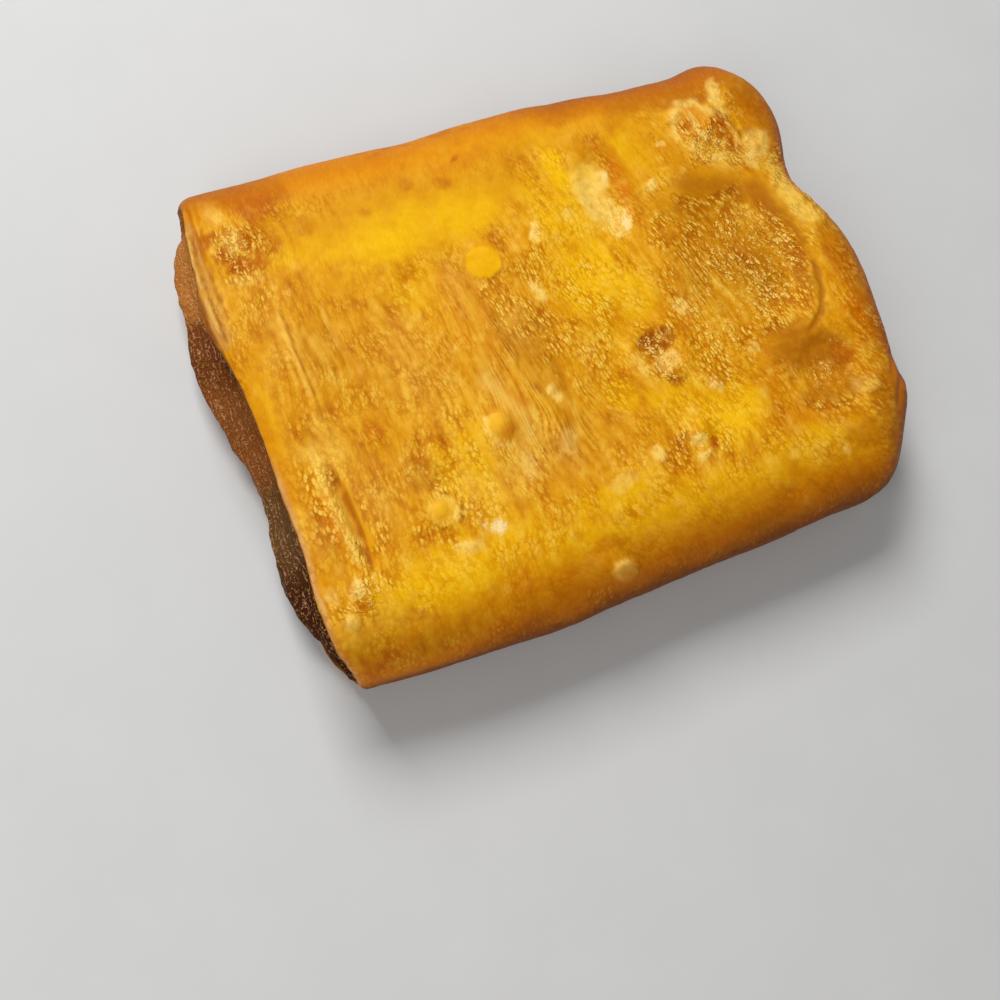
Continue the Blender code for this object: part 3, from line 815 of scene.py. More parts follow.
# Streaks of colour: colour, points, half width, strength
STREAKS = (
    (YELLOW, ((7.6, 33), (10, 28)), 1.4, 0.7),
    (PALE, ((-19.6, -5.5), (-17, -11), (-16.2, -18)), 1.3, 0.35),
    # Pale arcs on the bubble's upper left: painted highlight
    (PALE, ((-23.2, -12.5), (-22.4, -17.4), (-19.8, -18.6)), 0.5, 0.5),
    (PALE, ((-21.9, -13.4), (-21.6, -15)), 0.9, 0.5),
    (PALE_DOUGH, ((-53, -8), (-53.2, -14), (-52.2, -22), (-51.8, -30)), 0.9, 0.6),
    (ORANGE, ((-56, -17), (-54.6, -20), (-53.8, -24)), 1, 0.6),
    (RUSSET, ((43.8, 32.5), (45, 28.5), (44.4, 24.5)), 1, 0.7),
    (PALE, ((43.4, 34.4), (45.4, 31.6), (46.1, 28), (45.8, 26)), 0.35, 0.8),
    (PALE, ((34.6, 30), (34.6, 33.6), (37.2, 36.6), (40.4, 36.4), (42.6, 33.6)), 0.8, 0.75),
    (PALE, ((38.6, 34.4), (38.4, 31), (40.6, 28.4)), 0.6, 0.7),
    (PALE, ((47, 22), (46.6, 25), (48.4, 27.6), (51, 26.4), (50.2, 22.6), (47, 22)), 0.6, 0.6),
    (PALE_DOUGH, ((36, 27.6), (38, 24.4), (41, 22.6)), 1.4, 0.7),
    (PALE_DOUGH, ((49.8, 20.5), (50.2, 12), (52.6, 7)), 1.7, 0.7),
    (UMBER, ((-7.4, -5), (-7.2, -12), (-7.8, -22)), 0.5, 0.45),
    # Dark band on the back wall of the large hollow: browner dough with painted shade
    (CHESTNUT, ((31, 20.8), (35.5, 19.4), (40.5, 17.6), (44.6, 14.6), (46.8, 9.4)), 2.5, 0.7),
    (UMBER, ((-11.8, -9), (-9, -16), (-9.2, -24)), 0.4, 0.35),
)

# Clean streaks: their edge in half widths, share in a gap, noise and size of the gaps, uneven width
STREAK_EDGE = (0.5, 1.6)
STREAK_LEAST = 0.4
STREAK_GAPS = (-0.35, 0.15)
STREAK_GAP_SIZE = 3.2
STREAK_UNEVEN = 0.7

# Streaks with clean edges: colour, points, half width, strength. The dark ones in creases and grooves are
# browner dough with painted shade, and pale ones beside them partly painted highlight on ridges
CLEAN_STREAKS = (
    (UMBER, HOLLOW_RIM, 0.55, 0.9),
    # Crease of the left front: dark streaks of browner dough and painted shade, and a pale streak that is
    # partly painted highlight on its ridge
    (CHESTNUT, ((-51.4, -12.5), (-50.6, -17.5), (-50.2, -24), (-50.6, -31.5)), 0.55, 1),
    (UMBER, ((-50.8, -14), (-50.2, -18), (-49.9, -24), (-50.2, -30.5)), 0.3, 0.6),
    (PALE_DOUGH, ((-52.6, -11), (-51.9, -18), (-51.5, -24), (-51.8, -31)), 0.5, 0.5),
    (CHESTNUT, ((-49.8, 17.8), (-49.7, 9), (-49.3, 1)), 0.25, 0.9),
    (UMBER, ((-49.3, 1), (-48.8, -8)), 0.3, 0.4),
    (PALE_DOUGH, ((-50.5, 17.5), (-50.4, 9), (-50, 1)), 0.35, 0.6),
    (CHESTNUT, ((-42.5, 16.5), (-42.1, 9), (-41.3, 3)), 0.22, 0.8),
    (UMBER, ((-43.6, 13), (-43.4, 7)), 0.25, 0.6),
    (PALE_DOUGH, ((-43, 16.5), (-42.7, 9)), 0.3, 0.6),
    # Folds beside the lip: dark lines partly painted shade, pale lines partly painted highlight
    (PINK_TAN, ((-60.4, 38), (-61.3, 27), (-61.2, 15)), 1.5, 0.85),
    (UMBER, ((-60.1, 36), (-60.7, 27), (-60.6, 15)), 0.3, 0.8),
    (PALE, ((-60.9, 37), (-61.6, 27), (-61.3, 17)), 0.25, 0.5),
    (CHESTNUT, ((-59.2, 41), (-59.1, 31), (-58.9, 19)), 0.35, 0.9),
    (CHESTNUT, ((-58.2, 39), (-58, 33)), 0.3, 0.7),
    (HONEY, ((-59.2, 13), (-59.5, 0), (-59.3, -14)), 1.3, 0.7),
    (BROWN, ((-61.6, 38), (-62.4, 27), (-62.6, 18), (-61.4, 9)), 0.4, 0.8),
    # Pale and dark arcs on the ring blister's outline: painted highlight and painted shade
    (UMBER, ((-34.6, -22.5), (-32.7, -24.2), (-32.2, -26.2), (-33.6, -28.8)), 0.28, 0.8),
    (PALE, ((-35.2, -23.3), (-33.6, -24.8), (-33.4, -26.8), (-34.4, -28.2)), 0.4, 0.9),
    (UMBER, ((-37.6, -23.6), (-38.6, -25.4), (-38.2, -27.6), (-36.6, -28.9)), 0.25, 0.5),
    # Dark arc low on the bubble's right and pale arc on its upper left: painted shade and painted highlight
    (UMBER, ((-18.4, -13.4), (-18.5, -15.6), (-20, -17.6)), 0.3, 0.5),
    (PALE, ((-22.6, -12.4), (-23.2, -14.6), (-22.2, -17)), 0.3, 0.7),
    (UMBER, ((-9.2, 13.6), (-12, 12.6), (-14.6, 13.6)), 0.3, 0.5),
    (UMBER, ((43.2, 34.6), (45.2, 31.8), (46.3, 27.6)), 0.3, 0.7),
    (ORANGE, ((19.4, 30), (19.9, 24), (18.9, 20.5), (19.6, 15)), 0.9, 0.8),
)

# Colours of the left end's wall from front to back, the fried dough darkened further as painted shade under
# the overhanging lip: colour, start and end of the change along Y
END_TONES = (
    ((72, 32, 10), -60, -50),
    ((106, 72, 40), -28, -18),
    ((144, 82, 34), -12, -2),
    ((116, 60, 22), 10, 16),
    ((178, 112, 48), 24, 31),
)

# Where the top is smooth rather than pebbled: middle x and y, half sizes, strength
SMOOTH_PATCHES = (
    (-22, 29, 30, 10, 0.9), (0, 43, 70, 10, 0.85), (-11.8, 16.2, 4.4, 4.4, 1), (35.5, 20, 8, 3.6, 1),
    (44.5, 16, 4, 4, 0.9), (40, -17, 7.5, 5, 0.9), (47.5, 11, 2.4, 5, 0.9), (-50.5, -22, 1.7, 11.5, 1),
    (0, -43, 64, 7, 0.45), (-36, 20, 12, 5, 0.4), (-20.6, -14.7, 3.4, 3.4, 0.9), (24, 31, 7, 9, 0.6),
    (13.5, 25, 5, 7, 0.6), (-58, 0, 3, 12, 0.6), (-35.8, -25.6, 2.6, 2.6, 0.8), (54, 32, 6, 10, 0.6),
)

# Where pale dots lie close together: middle x and y, half sizes, strength
DOTTED_PATCHES = (
    (37, 2, 13, 14, 0.9), (27, -6, 7, 11, 0.5), (43, -24, 6, 4, 1), (12.8, -9, 4.6, 3.4, 1),
    (-36, -18, 4, 4, 0.6), (-54, -22, 2.4, 9, 0.3),
)

# How far the bounds of the wall's colours wander: size and reach
END_WANDER = ((4.0, 2.5),)

# Painted shadow in the recess of the tucked layers of the wall: share, heights as shares of the thickness,
# where they end along Y
TUCK_SHADOW_SHARE = 0.85
TUCK_PART = (0.45, 0.62)
TUCK_FADE = (42.0, 34.0)
TUCK_WANDER = ((3.0, 0.05),)

# How pale the line along the lip is, and where it begins along Y
RIM_PALE = 0.7
RIM_START = (-4.0, -14.0)

# Underside: lean of the surface, brownness of the plain dough and of the spots, and the spots' noise
UNDER_PART = (-0.5, -0.95)
UNDER_BROWN = 0.2
UNDER_SPOT_BROWN = 0.5
UNDER_SPOT_RANGE = (-0.1, 0.7)
UNDER_SPOTS = ((8.0, 1.0), (2.4, 0.5))

# Sides by the lean of the surface, and how far the bounds of their browning wander
FRONT_PART = (0.2, 0.8)
RIGHT_PART = (0.25, 0.85)
BACK_PART = (0.3, 0.9)
SIDE_WANDER = ((7.0, 0.06), (2.6, 0.05))

# Browning of the sides, from frying and, low down, as painted shade: strength, and the heights from which
# and to which it grows
SIDE_ORANGE = (0.8, 1.0, 0.78)
RIGHT_SIENNA = (0.75, 0.98, 0.75)
SIDE_BROWN_AND_SHADE = (0.9, 0.86, 0.5)
BACK_BROWN = (0.7, 0.75, 0.25)

# How much lower the front browns near its left end, and how much higher on its right, where the extra brown
# is painted shade, and where along X
FRONT_LIFT = 0.24
FRONT_LIFT_RANGE = (-30.0, -52.0)
FRONT_DROP = 0.06
FRONT_DROP_RANGE = (0.0, 24.0)

# Back edge: browner all along, most towards its right and its left end
BACK_EDGE_OUT = (0.1, 0.8)
BACK_EDGE_UP = (-0.6, -0.2)
BACK_EDGE_SHARE = 0.85
BACK_RIGHT = (0.0, 18.0)
BACK_LEFT = (-36.0, -50.0)
BACK_LEFT_SHARE = 0.7
BACK_DARK = (0.4, 0.95)
BACK_DARK_SHARE = 0.4

# Brown spots of the back
SPOT_LAYERS = ((6.0, 1.0), (2.0, 0.5))
SPOT_RANGE = (0.05, 0.6)
SPOT_UP = (-0.9, -0.4)
SPOT_SHARE = 0.6

# Where the top is drawn out into long fine folds: middle x and y, half sizes, strength
FIBROUS_PATCHES = (
    (-15, -10, 13, 26, 1), (-8, -18, 9, 14, 1), (-20, 6, 7, 12, 0.8), (26, 0, 8, 18, 0.6),
    (-46, 10, 9, 14, 0.5),
)

# Where the top is coarse: middle x and y, half sizes, strength
COARSE_PATCHES = (
    (-51, -20, 9, 17, 1), (-24, -18, 20, 13, 0.8), (0, 0, 13, 24, 0.9), (12, -10, 9, 9, 1),
    (34, 0, 25, 27, 1), (41, 27, 11, 11, 1), (12, -29, 11, 8, 0.9), (-53, 30, 8, 15, 0.9),
    (24, -10, 11, 15, 1), (-8, 8, 9, 13, 0.9), (-35, -27, 12, 8, 0.8), (-53, -35, 8, 7, 0.9),
    (52, 14, 5, 12, 0.9), (42, -27, 10, 6, 0.9),
)
PLAIN_COARSENESS = 0.55
SIDE_PEBBLES = 0.3

# How wide the smooth strip in a sunken line is, in half widths of the line
SMOOTH_GROOVE = 1.7

# Clusters of bumps: size, where the noise begins and ends to show them, least share
CLUSTERS = (5.0, -0.40, 0.35, 0.4)

# Clusters of pale specks on the wall: sizes, where the noise begins and ends to show them
SPECK_SIZES = (1.7, 3.4)
SPECK_RANGE = (0.0, 0.7)

# How far the edges of the patches wander: size and reach, and the share of it for some of them
PATCH_WARP = ((9.0, 2.6), (3.0, 1.3), (1.4, 1.1))
NEAR_WARP = 0.5
TORN_WARP = 0.6
COARSE_WARP = 0.5

# Painted warm shade on slopes away from the light: the light's direction, where the change begins and ends,
# and its tint
LIGHT_SIDE = (-0.10, 0.64, 0.76)
SHADE_RANGE = (0.70, 0.25)
SHADE_TINT = (1.0, 0.88, 0.55)


def linear(colour):
    """A colour in the units that light adds in."""
    value = np.array(colour, float) / 255.0
    return np.where(value <= 0.04045, value / 12.92, ((value + 0.055) / 1.055) ** 2.4)


def patches(x, y, table, edge=NEAR_EDGE):
    """How much of a colour's patches lies at each point."""
    share = np.zeros(len(x))
    for middle_x, middle_y, half_x, half_y, strength in table:
        share = np.maximum(share, strength * patch(x, y, middle_x, middle_y, half_x, half_y, edge))
    return share


def warped(place, strength=1.0):
    """Plan coordinates shifted a little, so that patches have uneven edges."""
    x, y = place[:, 0].copy(), place[:, 1].copy()
    for size, reach in PATCH_WARP:
        x += strength * reach * lumps(place + WARP_STEP, size)
        y += strength * reach * lumps(place - WARP_STEP, size)
    return x, y


def blend(tone, colour, share):
    """Move the tone towards a colour."""
    share = share[:, None]
    return tone * (1.0 - share) + linear(colour) * share


def mottled(tone, place, plain):
    """Streaks along the grain and small clouds, in darker and paler dough, and painted shade along the
    sunken grain lines.
    """
    grain = along_grain(place)
    light = (1.0 - plain) * layers(grain, STREAK_NOISE) + layers(place + CLOUD_STEP, CLOUD_NOISE)
    deep = tone * np.array(DEEP_TINT)
    pale = tone * np.array(PALE_TINT)
    pale += (linear(PALE_DOUGH) - pale) * PALE_SHARE * (1.0 - plain)[:, None]
    light = light[:, None]
    tone = tone + (deep - tone) * np.clip(-light * MOTTLE_DEEP, 0.0, 1.0)
    tone = tone + (pale - tone) * np.clip(light * MOTTLE_PALE, 0.0, 1.0)
    # Painted shade along the sunken grain lines
    lines = LINE_SHADE * grain_lines(place) * (1.0 - plain)
    return tone + (tone * np.array(DEEP_TINT) - tone) * lines[:, None]


def top_tone(place):
    """The colour of the crust at each point of the top."""
    x, y = warped(place)
    near_x, near_y = warped(place, NEAR_WARP)
    torn_x, torn_y = warped(place, TORN_WARP)
    flecks = smooth(*PATCH_FLECKS, lumps(place, TORN_SIZE))
    tone = np.repeat(linear(GOLD)[None, :], len(x), axis=0)
    for colour, table in BROAD_PATCHES:
        tone = blend(tone, colour, patches(x, y, table, WIDE_EDGE))
    tone = mottled(tone, place, patches(x, y, SMOOTH_PATCHES))
    for colour, table in NEAR_PATCHES:
        share = patches(near_x, near_y, table)
        tone = blend(tone, colour, share * (NEAR_LEAST + (1.0 - NEAR_LEAST) * flecks))
    for colour, points, half_width, strength in STREAKS:
        tone = blend(tone, colour, strength * bell(line_distance(near_x, near_y, points), half_width))
    kept = STREAK_LEAST + (1.0 - STREAK_LEAST) * smooth(*STREAK_GAPS, lumps(place, STREAK_GAP_SIZE))
    uneven = 1.0 + STREAK_UNEVEN * lumps(place + STREAK_STEP, STREAK_GAP_SIZE)
    for colour, points, half_width, strength in CLEAN_STREAKS:
        away = uneven * line_distance(place[:, 0], place[:, 1], points) / half_width
        tone = blend(tone, colour, strength * kept * (1.0 - smooth(*STREAK_EDGE, away)))
    for colour, table in TORN_PATCHES:
        share = patches(torn_x, torn_y, table, TORN_EDGE)
        tone = blend(tone, colour, share * (TORN_LEAST + (1.0 - TORN_LEAST) * flecks))
    for colour, table in CLEAR_PATCHES:
        tone = blend(tone, colour, patches(place[:, 0], place[:, 1], table, CLEAR_EDGE))
    return tone


def browned(tone, colour, part, height, values):
    """Brown one part of the sides towards its foot, from frying and as painted shade."""
    strength, start, end = values
    return blend(tone, colour, strength * part * smooth(start, end, height))


def side_tone(tone, place, out):
    """Browner sides from frying, darkest low down, where the brown is also painted shade."""
    x = place[:, 0]
    front = smooth(*FRONT_PART, -out[:, 1])
    right = smooth(*RIGHT_PART, out[:, 0])
    back = smooth(*BACK_PART, out[:, 1])
    sides = np.maximum(front, right)
    height = place[:, 2] / THICKNESS + layers(place, SIDE_WANDER)
    height += front * (FRONT_LIFT * smooth(*FRONT_LIFT_RANGE, x) - FRONT_DROP * smooth(*FRONT_DROP_RANGE, x))
    tone = browned(tone, ORANGE, sides, height, SIDE_ORANGE)
    edge = smooth(*BACK_EDGE_OUT, out[:, 1]) * smooth(*BACK_EDGE_UP, out[:, 2])
    tone = blend(tone, RIM_BROWN, BACK_EDGE_SHARE * edge)
    ends = np.maximum(smooth(*BACK_RIGHT, x), BACK_LEFT_SHARE * smooth(*BACK_LEFT, x))
    tone = blend(tone, SIENNA, BACK_EDGE_SHARE * edge * ends)
    tone = blend(tone, BROWN, BACK_DARK_SHARE * ends * smooth(*BACK_DARK, out[:, 1]))
    spots = smooth(*SPOT_RANGE, layers(place, SPOT_LAYERS)) * smooth(*SPOT_UP, out[:, 2])
    tone = blend(tone, SIENNA, SPOT_SHARE * spots * back)
    tone = browned(tone, SIENNA, right, height, RIGHT_SIENNA)
    # Darkest brown low on the sides: frying and painted shade
    tone = browned(tone, BROWN, sides, height, SIDE_BROWN_AND_SHADE)
    return browned(tone, BROWN, back, height, BACK_BROWN)


def end_tone(tone, place, wall, rim):
    """Wall of the left end, dark from frying and as painted shade under the lip, with painted shadow in the
    recess of its tucked layers, tan on the far end of its lower layer, and a pale line on the lip.
    """
    y = place[:, 1] + layers(place, END_WANDER)
    for colour, start, end in END_TONES:
        tone = blend(tone, colour, wall * smooth(start, end, y))
    height = place[:, 2] / THICKNESS + layers(place, TUCK_WANDER)
    # Painted shadow in the recess below the lip
    tone = blend(tone, TUCK_SHADOW, TUCK_SHADOW_SHARE * wall * smooth(*TUCK_PART, height) * smooth(*TUCK_FADE, y))
    return blend(tone, FIBRE, RIM_PALE * rim * smooth(*RIM_START, y))


def base_tone(tone, place, out):
    """Browned underside with darker spots."""
    under = smooth(*UNDER_PART, out[:, 2])
    tone = blend(tone, RIM_BROWN, under)
    spots = smooth(*UNDER_SPOT_RANGE, layers(place, UNDER_SPOTS))
    return blend(tone, BROWN, under * (UNDER_BROWN + UNDER_SPOT_BROWN * spots))


def crust_tone(marks, place, out, wall, rim, blisters):
    """The crust's colour at each point."""
    tone = top_tone(marks)
    # Paler tops of the small blisters, partly painted highlight
    pale = SMALL_PALE_HIGHLIGHT * np.clip(blisters, 0.0, 1.0) * smooth(*LEVEL_PART, out[:, 2])
    tone = blend(tone, PALE_DOUGH, pale * (1.0 - patches(marks[:, 0], marks[:, 1], SMOOTH_PATCHES)))
    tone = side_tone(tone, place, out)
    tone = base_tone(tone, place, out)
    return end_tone(tone, place, wall, rim)


def painted_warm_shade(tone, normals):
    """Painted warm shade: a redder, darker colour on the slopes that face away from the light."""
    facing = normals @ np.array(LIGHT_SIDE)
    share = smooth(*SHADE_RANGE, facing)[:, None]
    return tone * (1.0 - share * (1.0 - np.array(SHADE_TINT)))


def pebbled_share(place):
    """How pebbled the top is: from 0 where it is smooth to 1."""
    x, y = warped(place, COARSE_WARP)
    coarse = np.maximum(PLAIN_COARSENESS, patches(x, y, COARSE_PATCHES))
    cluster_size, low, high, least = CLUSTERS
    cluster = least + (1.0 - least) * smooth(low, high, lumps(place + CLUSTER_STEP, cluster_size))
    share = coarse * cluster * (1.0 - patches(x, y, SMOOTH_PATCHES))
    for points, half_width, height in LINES:
        if height < 0:
            share *= 1.0 - bell(line_distance(place[:, 0], place[:, 1], points), SMOOTH_GROOVE * half_width)
    return share


def rough_share(place):
    """Where burst blisters have left pale flakes, and pale dots lie close together."""
    table = [values[:4] + (1.0,) for values in ROUGH]
    return patches(*warped(place, COARSE_WARP), table + list(DOTTED_PATCHES))


def wall_specks(place):
    """Clusters of pale specks on the left end's wall."""
    small, large = SPECK_SIZES
    return smooth(*SPECK_RANGE, lumps(place, small) + lumps(place + SPECK_STEP, large))


def on_frame(place):
    """Move the points so that the crust stands where its solid does, on its own lowest point."""
    return place + np.array([*FRAME_SHIFT, -place[:, 2].min()])


def crust_points():
    """All points of the crust, its faces and the values that its material reads."""
    half_length, half_width = LENGTH / 2, WIDTH / 2
    columns = stations(-half_length, half_length, LEFT_END_ROUND, RIGHT_END_ROUND)
    rows = stations(-half_width, half_width, LONG_SIDE_ROUND, LONG_SIDE_ROUND)
    levels = np.tan(np.linspace(-np.pi / 4, np.pi / 4, SIDE_ROWS + 1))
    points, faces = box_grid((len(columns[0]) - 1, len(rows[0]) - 1, SIDE_ROWS))
    place, out = wrap(points, columns, rows, levels)
    place = shape_outline(place)
    place, wall, rim = shape_left_end(place, out)
    place = add_relief(place, out)
    marks = seen(place)
    pebbled = pebbled_share(marks)
    blisters = small_blisters(marks[:, 0], marks[:, 1])
    values = {
        "pebbled": SIDE_PEBBLES + (pebbled - SIDE_PEBBLES) * smooth(*PEBBLED_PART, out[:, 2]),
        "flaky": rough_share(marks) * smooth(*FLAKY_PART, out[:, 2]) + wall * wall_specks(place),
        "wall": wall,
        "fibrous": patches(marks[:, 0], marks[:, 1], FIBROUS_PATCHES, WIDE_EDGE),
    }
    tone = crust_tone(marks, place, out, wall, rim, blisters)
    grain = flow(marks) * (1.0 - wall[:, None]) + place / np.array(WALL_GRAIN) * wall[:, None]
    place = add_fine_relief(place, marks, out, wall, pebbled, blisters)
    return on_frame(place), faces, tone, grain, values


# Materials

# Sockets of a mix of two numbers, and of a mix of two colours: the first, the second and the result
NUMBER_SOCKETS = (2, 3, 0)
COLOUR_SOCKETS = (6, 7, 2)


class Nodes:
    """Short ways to add nodes to a material."""

    def __init__(self, material):
        self.tree = material.node_tree

    def add(self, kind, **inputs):
        """Add a node, and set or link its inputs by name."""
        node = self.tree.nodes.new(kind)
        for name, value in inputs.items():
            self.feed(node.inputs[name.replace("_", " ")], value)
        return node

    def feed(self, socket, value):
        """Link a socket to an output, or set its value."""
        if isinstance(value, bpy.types.NodeSocket):
            self.tree.links.new(value, socket)
        else:
            socket.default_value = value

    def held(self, name, kind="Fac"):
        """A number, vector or colour that the mesh holds at each point."""
        node = self.tree.nodes.new("ShaderNodeAttribute")
        node.attribute_name = name
        return node.outputs[kind]

    def math(self, operation, first, second=0.0, third=0.0):
        """Arithmetic on two or three numbers."""
        node = self.tree.nodes.new("ShaderNodeMath")
        node.operation = operation
        for socket, value in zip(node.inputs, (first, second, third)):
            self.feed(socket, value)
        return node.outputs["Value"]

    def times(self, first, second):
        """Multiply two numbers."""
        return self.math("MULTIPLY", first, second)

    def span(self, value, low, high, new_low=0.0, new_high=1.0):
        """Carry a number from one range to another, held within it."""
        node = self.tree.nodes.new("ShaderNodeMapRange")
        node.interpolation_type = "SMOOTHSTEP"
        names = ("Value", "From Min", "From Max", "To Min", "To Max")
        for name, given in zip(names, (value, low, high, new_low, new_high)):
            self.feed(node.inputs[name], given)
        return node.outputs["Result"]

    def mixed(self, node, first, second, sockets):
        """The result of a mix node, once both of its sides are set."""
        first_socket, second_socket, result = sockets
        self.feed(node.inputs[first_socket], first)
        self.feed(node.inputs[second_socket], second)
        return node.outputs[result]

    def mix(self, share, first, second, way="MIX"):
        """Mix two colours."""
        node = self.add("ShaderNodeMix", Factor=share)
        node.data_type = "RGBA"
        node.blend_type = way
        return self.mixed(node, first, second, COLOUR_SOCKETS)

    def lerp(self, share, first, second):
        """Mix two numbers."""
        return self.mixed(self.add("ShaderNodeMix", Factor=share), first, second, NUMBER_SOCKETS)

    def tint(self, colour, factors):
        """Multiply a colour by three factors."""
        return self.mix(1.0, colour, (*factors, 1.0), "MULTIPLY")

    def noise(self, vector, scale, detail, roughness, distortion):
        """Smooth noise from 0 to 1."""
        node = self.add("ShaderNodeTexNoise", Vector=vector, Scale=scale, Detail=detail,
                        Roughness=roughness, Distortion=distortion)
        return node.outputs["Fac"]

    def vector_math(self, operation, first, second):
        """Add or multiply two vectors, or scale one by a number."""
        node = self.tree.nodes.new("ShaderNodeVectorMath")
        node.operation = operation
        self.feed(node.inputs[0], first)
        self.feed(node.inputs["Scale" if operation == "SCALE" else 1], second)
        return node.outputs["Vector"]

    def noise_vector(self, vector, scale, detail):
        """Smooth noise with three values."""
        return self.add("ShaderNodeTexNoise", Vector=vector, Scale=scale, Detail=detail).outputs["Color"]

    def bands(self, vector, scale, distortion, detail, detail_scale):
        """Bent bands across the first axis, from 0 to 1."""
        node = self.add("ShaderNodeTexWave", Vector=vector, Scale=scale, Distortion=distortion,
                        Detail=detail, Detail_Scale=detail_scale)
        return node.outputs["Fac"]

    def cells(self, vector, scale):
        """The distance to the middle of an uneven cell, and one number from 0 to 1 for each cell."""
        node = self.add("ShaderNodeTexVoronoi", Vector=vector, Scale=scale)
        parts = self.add("ShaderNodeSeparateColor", Color=node.outputs["Color"])
        return node.outputs["Distance"], parts.outputs["Red"]

    def bump(self, height, distance, strength):
        """Bump from a height between 0 and 1, for the given distance in metres."""
        node = self.add("ShaderNodeBump", Height=height, Distance=distance, Strength=strength)
        return node.outputs["Normal"]


def rgba(colour):
    """A colour for a node's socket."""
    return (*linear(colour), 1.0)


# Uneven cells that make the beads: scale and detail of the noise that shifts them, how far it shifts them
# where the crust isn't flaky and where it is, and the scale of the cells
SHIFT_NOISE = (1200.0, 1.0)
SHIFT_REACH = (0.6, 1.5)
CELL_SCALE = 1.45

# Wrinkles: scale, detail, roughness and distortion of their noise
WRINKLES = (0.9, 2.0, 0.6, 0.3)

# Folds: how they are stretched, then their scale, distortion, detail and scale of the detail
FOLD_STRETCH = (1.0, 0.35, 0.35)
FOLDS = (0.30, 11.0, 1.0, 1.4)

# Beads: from a cell's edge to the bead's top, and the heights of the lowest and the highest
BEAD_RANGE = (0.82, 0.20)
BEAD_RISE = (0.0, 1.0, 0.45, 1.0)

# Relief: share of folds among the beads, shares of wrinkles and beads, depth in metres, strength
FOLD_SHARE = 0.7
WRINKLE_RISE = 0.5
BUMP_RISE = 0.7
BUMP_DISTANCE = 0.0004
BUMP_STRENGTH = (0.0, 1.0, 0.12, 0.8)

# Painted shade low in the relief and painted highlight high in it, more where the crust is pebbled
VALLEY_RANGE = (0.50, 0.26)
VALLEY_SHARE = (0.0, 1.0, 0.1, 0.9)
VALLEY_SHADE_TINT = (0.72, 0.50, 0.30)
PEAK_RANGE = (0.54, 0.84)
PEAK_SHARE = (0.2, 1.0, 0.04, 0.8)

# Painted glints: pale flecks in the middle of some beads, which also stand for pale flakes where the crust
# is flaky, and for pale specks on the wall
GLINT_BEAD = (0.42, 0.24)
GLINT_CELLS = (0.66, 0.80)
GLINT_PEBBLED = (0.5, 1.0, 0.0, 0.35)
GLINT_FLAKY = 0.7

# Pale fibres of the torn wall
WRINKLE_MIDDLE = 0.5
FIBRE_RANGE = (0.03, 0.01)
FIBRE_FOLDS = (0.5, 0.6)
FIBRE_SHARE = 0.6

# Sheen of the fried dough
ROUGHNESS = (0.3, 0.7, 0.46, 0.60)
SPECULAR = 0.06


def new_material(name):
    """A new material, a way to add nodes to it, and its shader."""
    material = bpy.data.materials.new(name)
    material.use_nodes = True
    return material, Nodes(material), material.node_tree.nodes["Principled BSDF"]


def crust_material():
    """Fried dough: patchy colour, stretched grain, fine folds, beads, painted shade in the low relief, and
    painted highlights and glints on the beads.
    """
    material, nodes, shader = new_material("fried_crust")
    place = nodes.add("ShaderNodeTexCoord").outputs["Object"]
    grain, tone = nodes.held("grain", "Vector"), nodes.held("tone", "Color")
    pebbled, fibrous = nodes.held("pebbled"), nodes.held("fibrous")
    flaky, wall = nodes.held("flaky"), nodes.held("wall")

    reach = nodes.lerp(flaky, *SHIFT_REACH)
    shift = nodes.vector_math("SCALE", nodes.noise_vector(place, *SHIFT_NOISE), reach)
    bead, cell = nodes.cells(nodes.vector_math("ADD", grain, shift), CELL_SCALE)
    wrinkle = nodes.noise(grain, *WRINKLES)
    folds = nodes.bands(nodes.vector_math("MULTIPLY", grain, FOLD_STRETCH), *FOLDS)
    raised = nodes.times(nodes.span(bead, *BEAD_RANGE), nodes.span(cell, *BEAD_RISE))
    bumps = nodes.lerp(nodes.times(fibrous, FOLD_SHARE), raised, folds)
    relief = nodes.math("MULTIPLY_ADD", wrinkle, WRINKLE_RISE, nodes.times(bumps, BUMP_RISE))

    # Painted shade in the low relief, then painted highlight on its tops
    valley_shade = nodes.span(relief, *VALLEY_RANGE, 0.0, nodes.span(pebbled, *VALLEY_SHARE))
    colour = nodes.mix(valley_shade, tone, nodes.tint(tone, VALLEY_SHADE_TINT))
    peak_highlight = nodes.span(relief, *PEAK_RANGE, 0.0, nodes.span(pebbled, *PEAK_SHARE))
    colour = nodes.mix(peak_highlight, colour, nodes.mix(flaky, rgba(PALE_DOUGH), rgba(CREAM)))

    # Painted glints on some beads
    glint_fleck = nodes.times(nodes.span(bead, *GLINT_BEAD), nodes.span(cell, *GLINT_CELLS))
    shown = nodes.math("MAXIMUM", nodes.span(pebbled, *GLINT_PEBBLED), nodes.times(flaky, GLINT_FLAKY))
    colour = nodes.mix(nodes.times(glint_fleck, shown), colour, nodes.mix(wall, rgba(CREAM), rgba(FIBRE)))
    fibre = nodes.math("ABSOLUTE", nodes.math("SUBTRACT", wrinkle, WRINKLE_MIDDLE))
    torn = nodes.times(wall, nodes.span(folds, *FIBRE_FOLDS))
    fibre = nodes.times(nodes.span(fibre, *FIBRE_RANGE), torn)
    colour = nodes.mix(nodes.times(fibre, FIBRE_SHARE), colour, rgba(FIBRE))

    strength = nodes.math("MAXIMUM", nodes.span(pebbled, *BUMP_STRENGTH), wall)
    nodes.feed(shader.inputs["Base Color"], colour)
    nodes.feed(shader.inputs["Roughness"], nodes.span(wrinkle, *ROUGHNESS))
    nodes.feed(shader.inputs["Normal"], nodes.bump(relief, BUMP_DISTANCE, strength))
    shader.inputs["Specular IOR Level"].default_value = SPECULAR
    return material


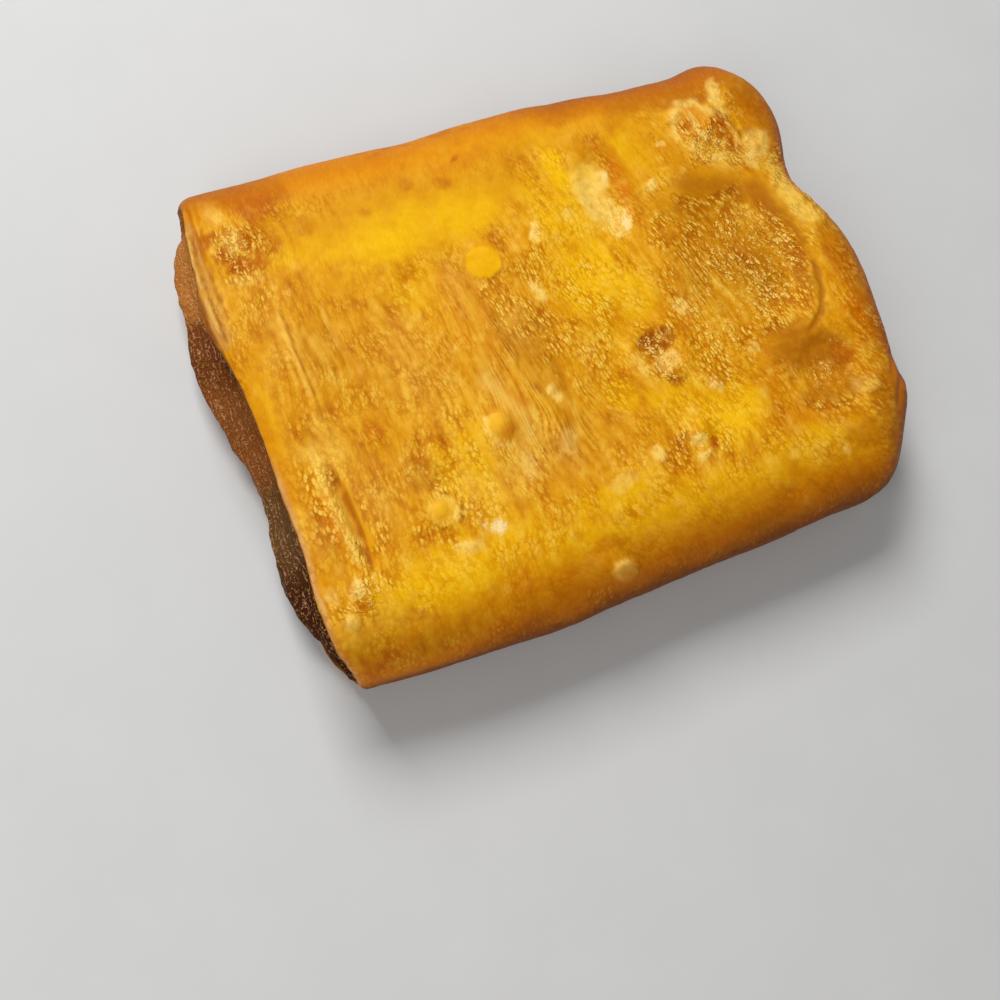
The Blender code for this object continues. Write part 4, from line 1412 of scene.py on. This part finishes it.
# Pale floor: its two tones, and the scale, detail, roughness and distortion of their noise
FLOOR_TONES = ((0.62, 0.62, 0.61, 1.0), (0.66, 0.66, 0.65, 1.0))
FLOOR_GRAIN = (60.0, 3.0, 0.55, 0.0)
FLOOR_ROUGHNESS = 0.7
FLOOR_REACH = 3.0


def floor_material():
    """Plain pale floor with a faint grain."""
    material, nodes, shader = new_material("pale_floor")
    grain = nodes.noise(nodes.add("ShaderNodeTexCoord").outputs["Object"], *FLOOR_GRAIN)
    nodes.feed(shader.inputs["Base Color"], nodes.mix(grain, *FLOOR_TONES))
    shader.inputs["Roughness"].default_value = FLOOR_ROUGHNESS
    return material


# Pieces

def new_object(name, data):
    """A new object of the scene, made of the given data."""
    thing = bpy.data.objects.new(name, data)
    bpy.context.collection.objects.link(thing)
    return thing


def hold(mesh, name, kind, field, values):
    """Give the mesh a value at each point, for its material."""
    layer = mesh.attributes.new(name, kind, "POINT")
    layer.data.foreach_set(field, values.ravel())


def build_crust():
    """The crust as one closed mesh in place of the solid."""
    place, faces, tone, grain, values = crust_points()
    mesh = bpy.data.meshes.new("crust")
    mesh.from_pydata((place * MM).tolist(), [], faces)
    mesh.shade_smooth()
    # Painted warm shade on the slopes that face away from the key light
    tone = painted_warm_shade(tone, np.array([vertex.normal for vertex in mesh.vertices]))
    hold(mesh, "tone", "FLOAT_COLOR", "color", np.concatenate([tone, np.ones((len(tone), 1))], axis=1))
    hold(mesh, "grain", "FLOAT_VECTOR", "vector", grain)
    for name, value in values.items():
        hold(mesh, name, "FLOAT", "value", value)
    mesh.materials.append(crust_material())
    crust = new_object("crust", mesh)
    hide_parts("pastry")
    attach(crust, "root")


def build_floor():
    """A plain floor under the puff."""
    mesh = bpy.data.meshes.new("floor")
    corners = [(FLOOR_REACH * x, FLOOR_REACH * y, 0) for x, y in ((-1, -1), (1, -1), (1, 1), (-1, 1))]
    mesh.from_pydata(corners, [], [(0, 1, 2, 3)])
    mesh.materials.append(floor_material())
    new_object("floor", mesh)


# Square lamps: name, place and side in metres, power
LAMPS = (
    ("key", (-0.08, 0.50, 0.60), 0.34, 5.15),
    ("fill", (-0.42, -0.30, 0.52), 0.50, 1.8),
)

# Even light from all around
SURROUND = (1.0, 1.0, 1.0, 1.0)
SURROUND_STRENGTH = 0.16


def light_studio():
    """Soft light from the back and slightly left, a weaker one from the front left, an even surround."""
    for name, place, side, power in LAMPS:
        lamp = bpy.data.lights.new(name, "AREA")
        lamp.shape = "SQUARE"
        lamp.size = side
        lamp.energy = power
        light = new_object(name, lamp)
        light.location = place
        light.rotation_euler = Vector(place).to_track_quat("Z", "Y").to_euler()
    world = bpy.data.worlds.new("studio")
    world.use_nodes = True
    background = world.node_tree.nodes["Background"].inputs
    background["Color"].default_value = SURROUND
    background["Strength"].default_value = SURROUND_STRENGTH
    bpy.context.scene.world = world
    bpy.context.scene.view_settings.view_transform = "Standard"


def place_camera():
    """The camera, high over the near left corner."""
    lens = bpy.data.cameras.new("camera")
    lens.lens = CAMERA_LENS
    lens.clip_start = CAMERA_NEAR
    camera = new_object("camera", lens)
    right, up = Vector(CAMERA_RIGHT).normalized(), Vector(CAMERA_UP).normalized()
    turn = Matrix((right, up, right.cross(up))).transposed().to_4x4()
    camera.matrix_world = Matrix.Translation(Vector(CAMERA_PLACE) * MM) @ turn
    bpy.context.scene.camera = camera


build_crust()
build_floor()
light_studio()
place_camera()
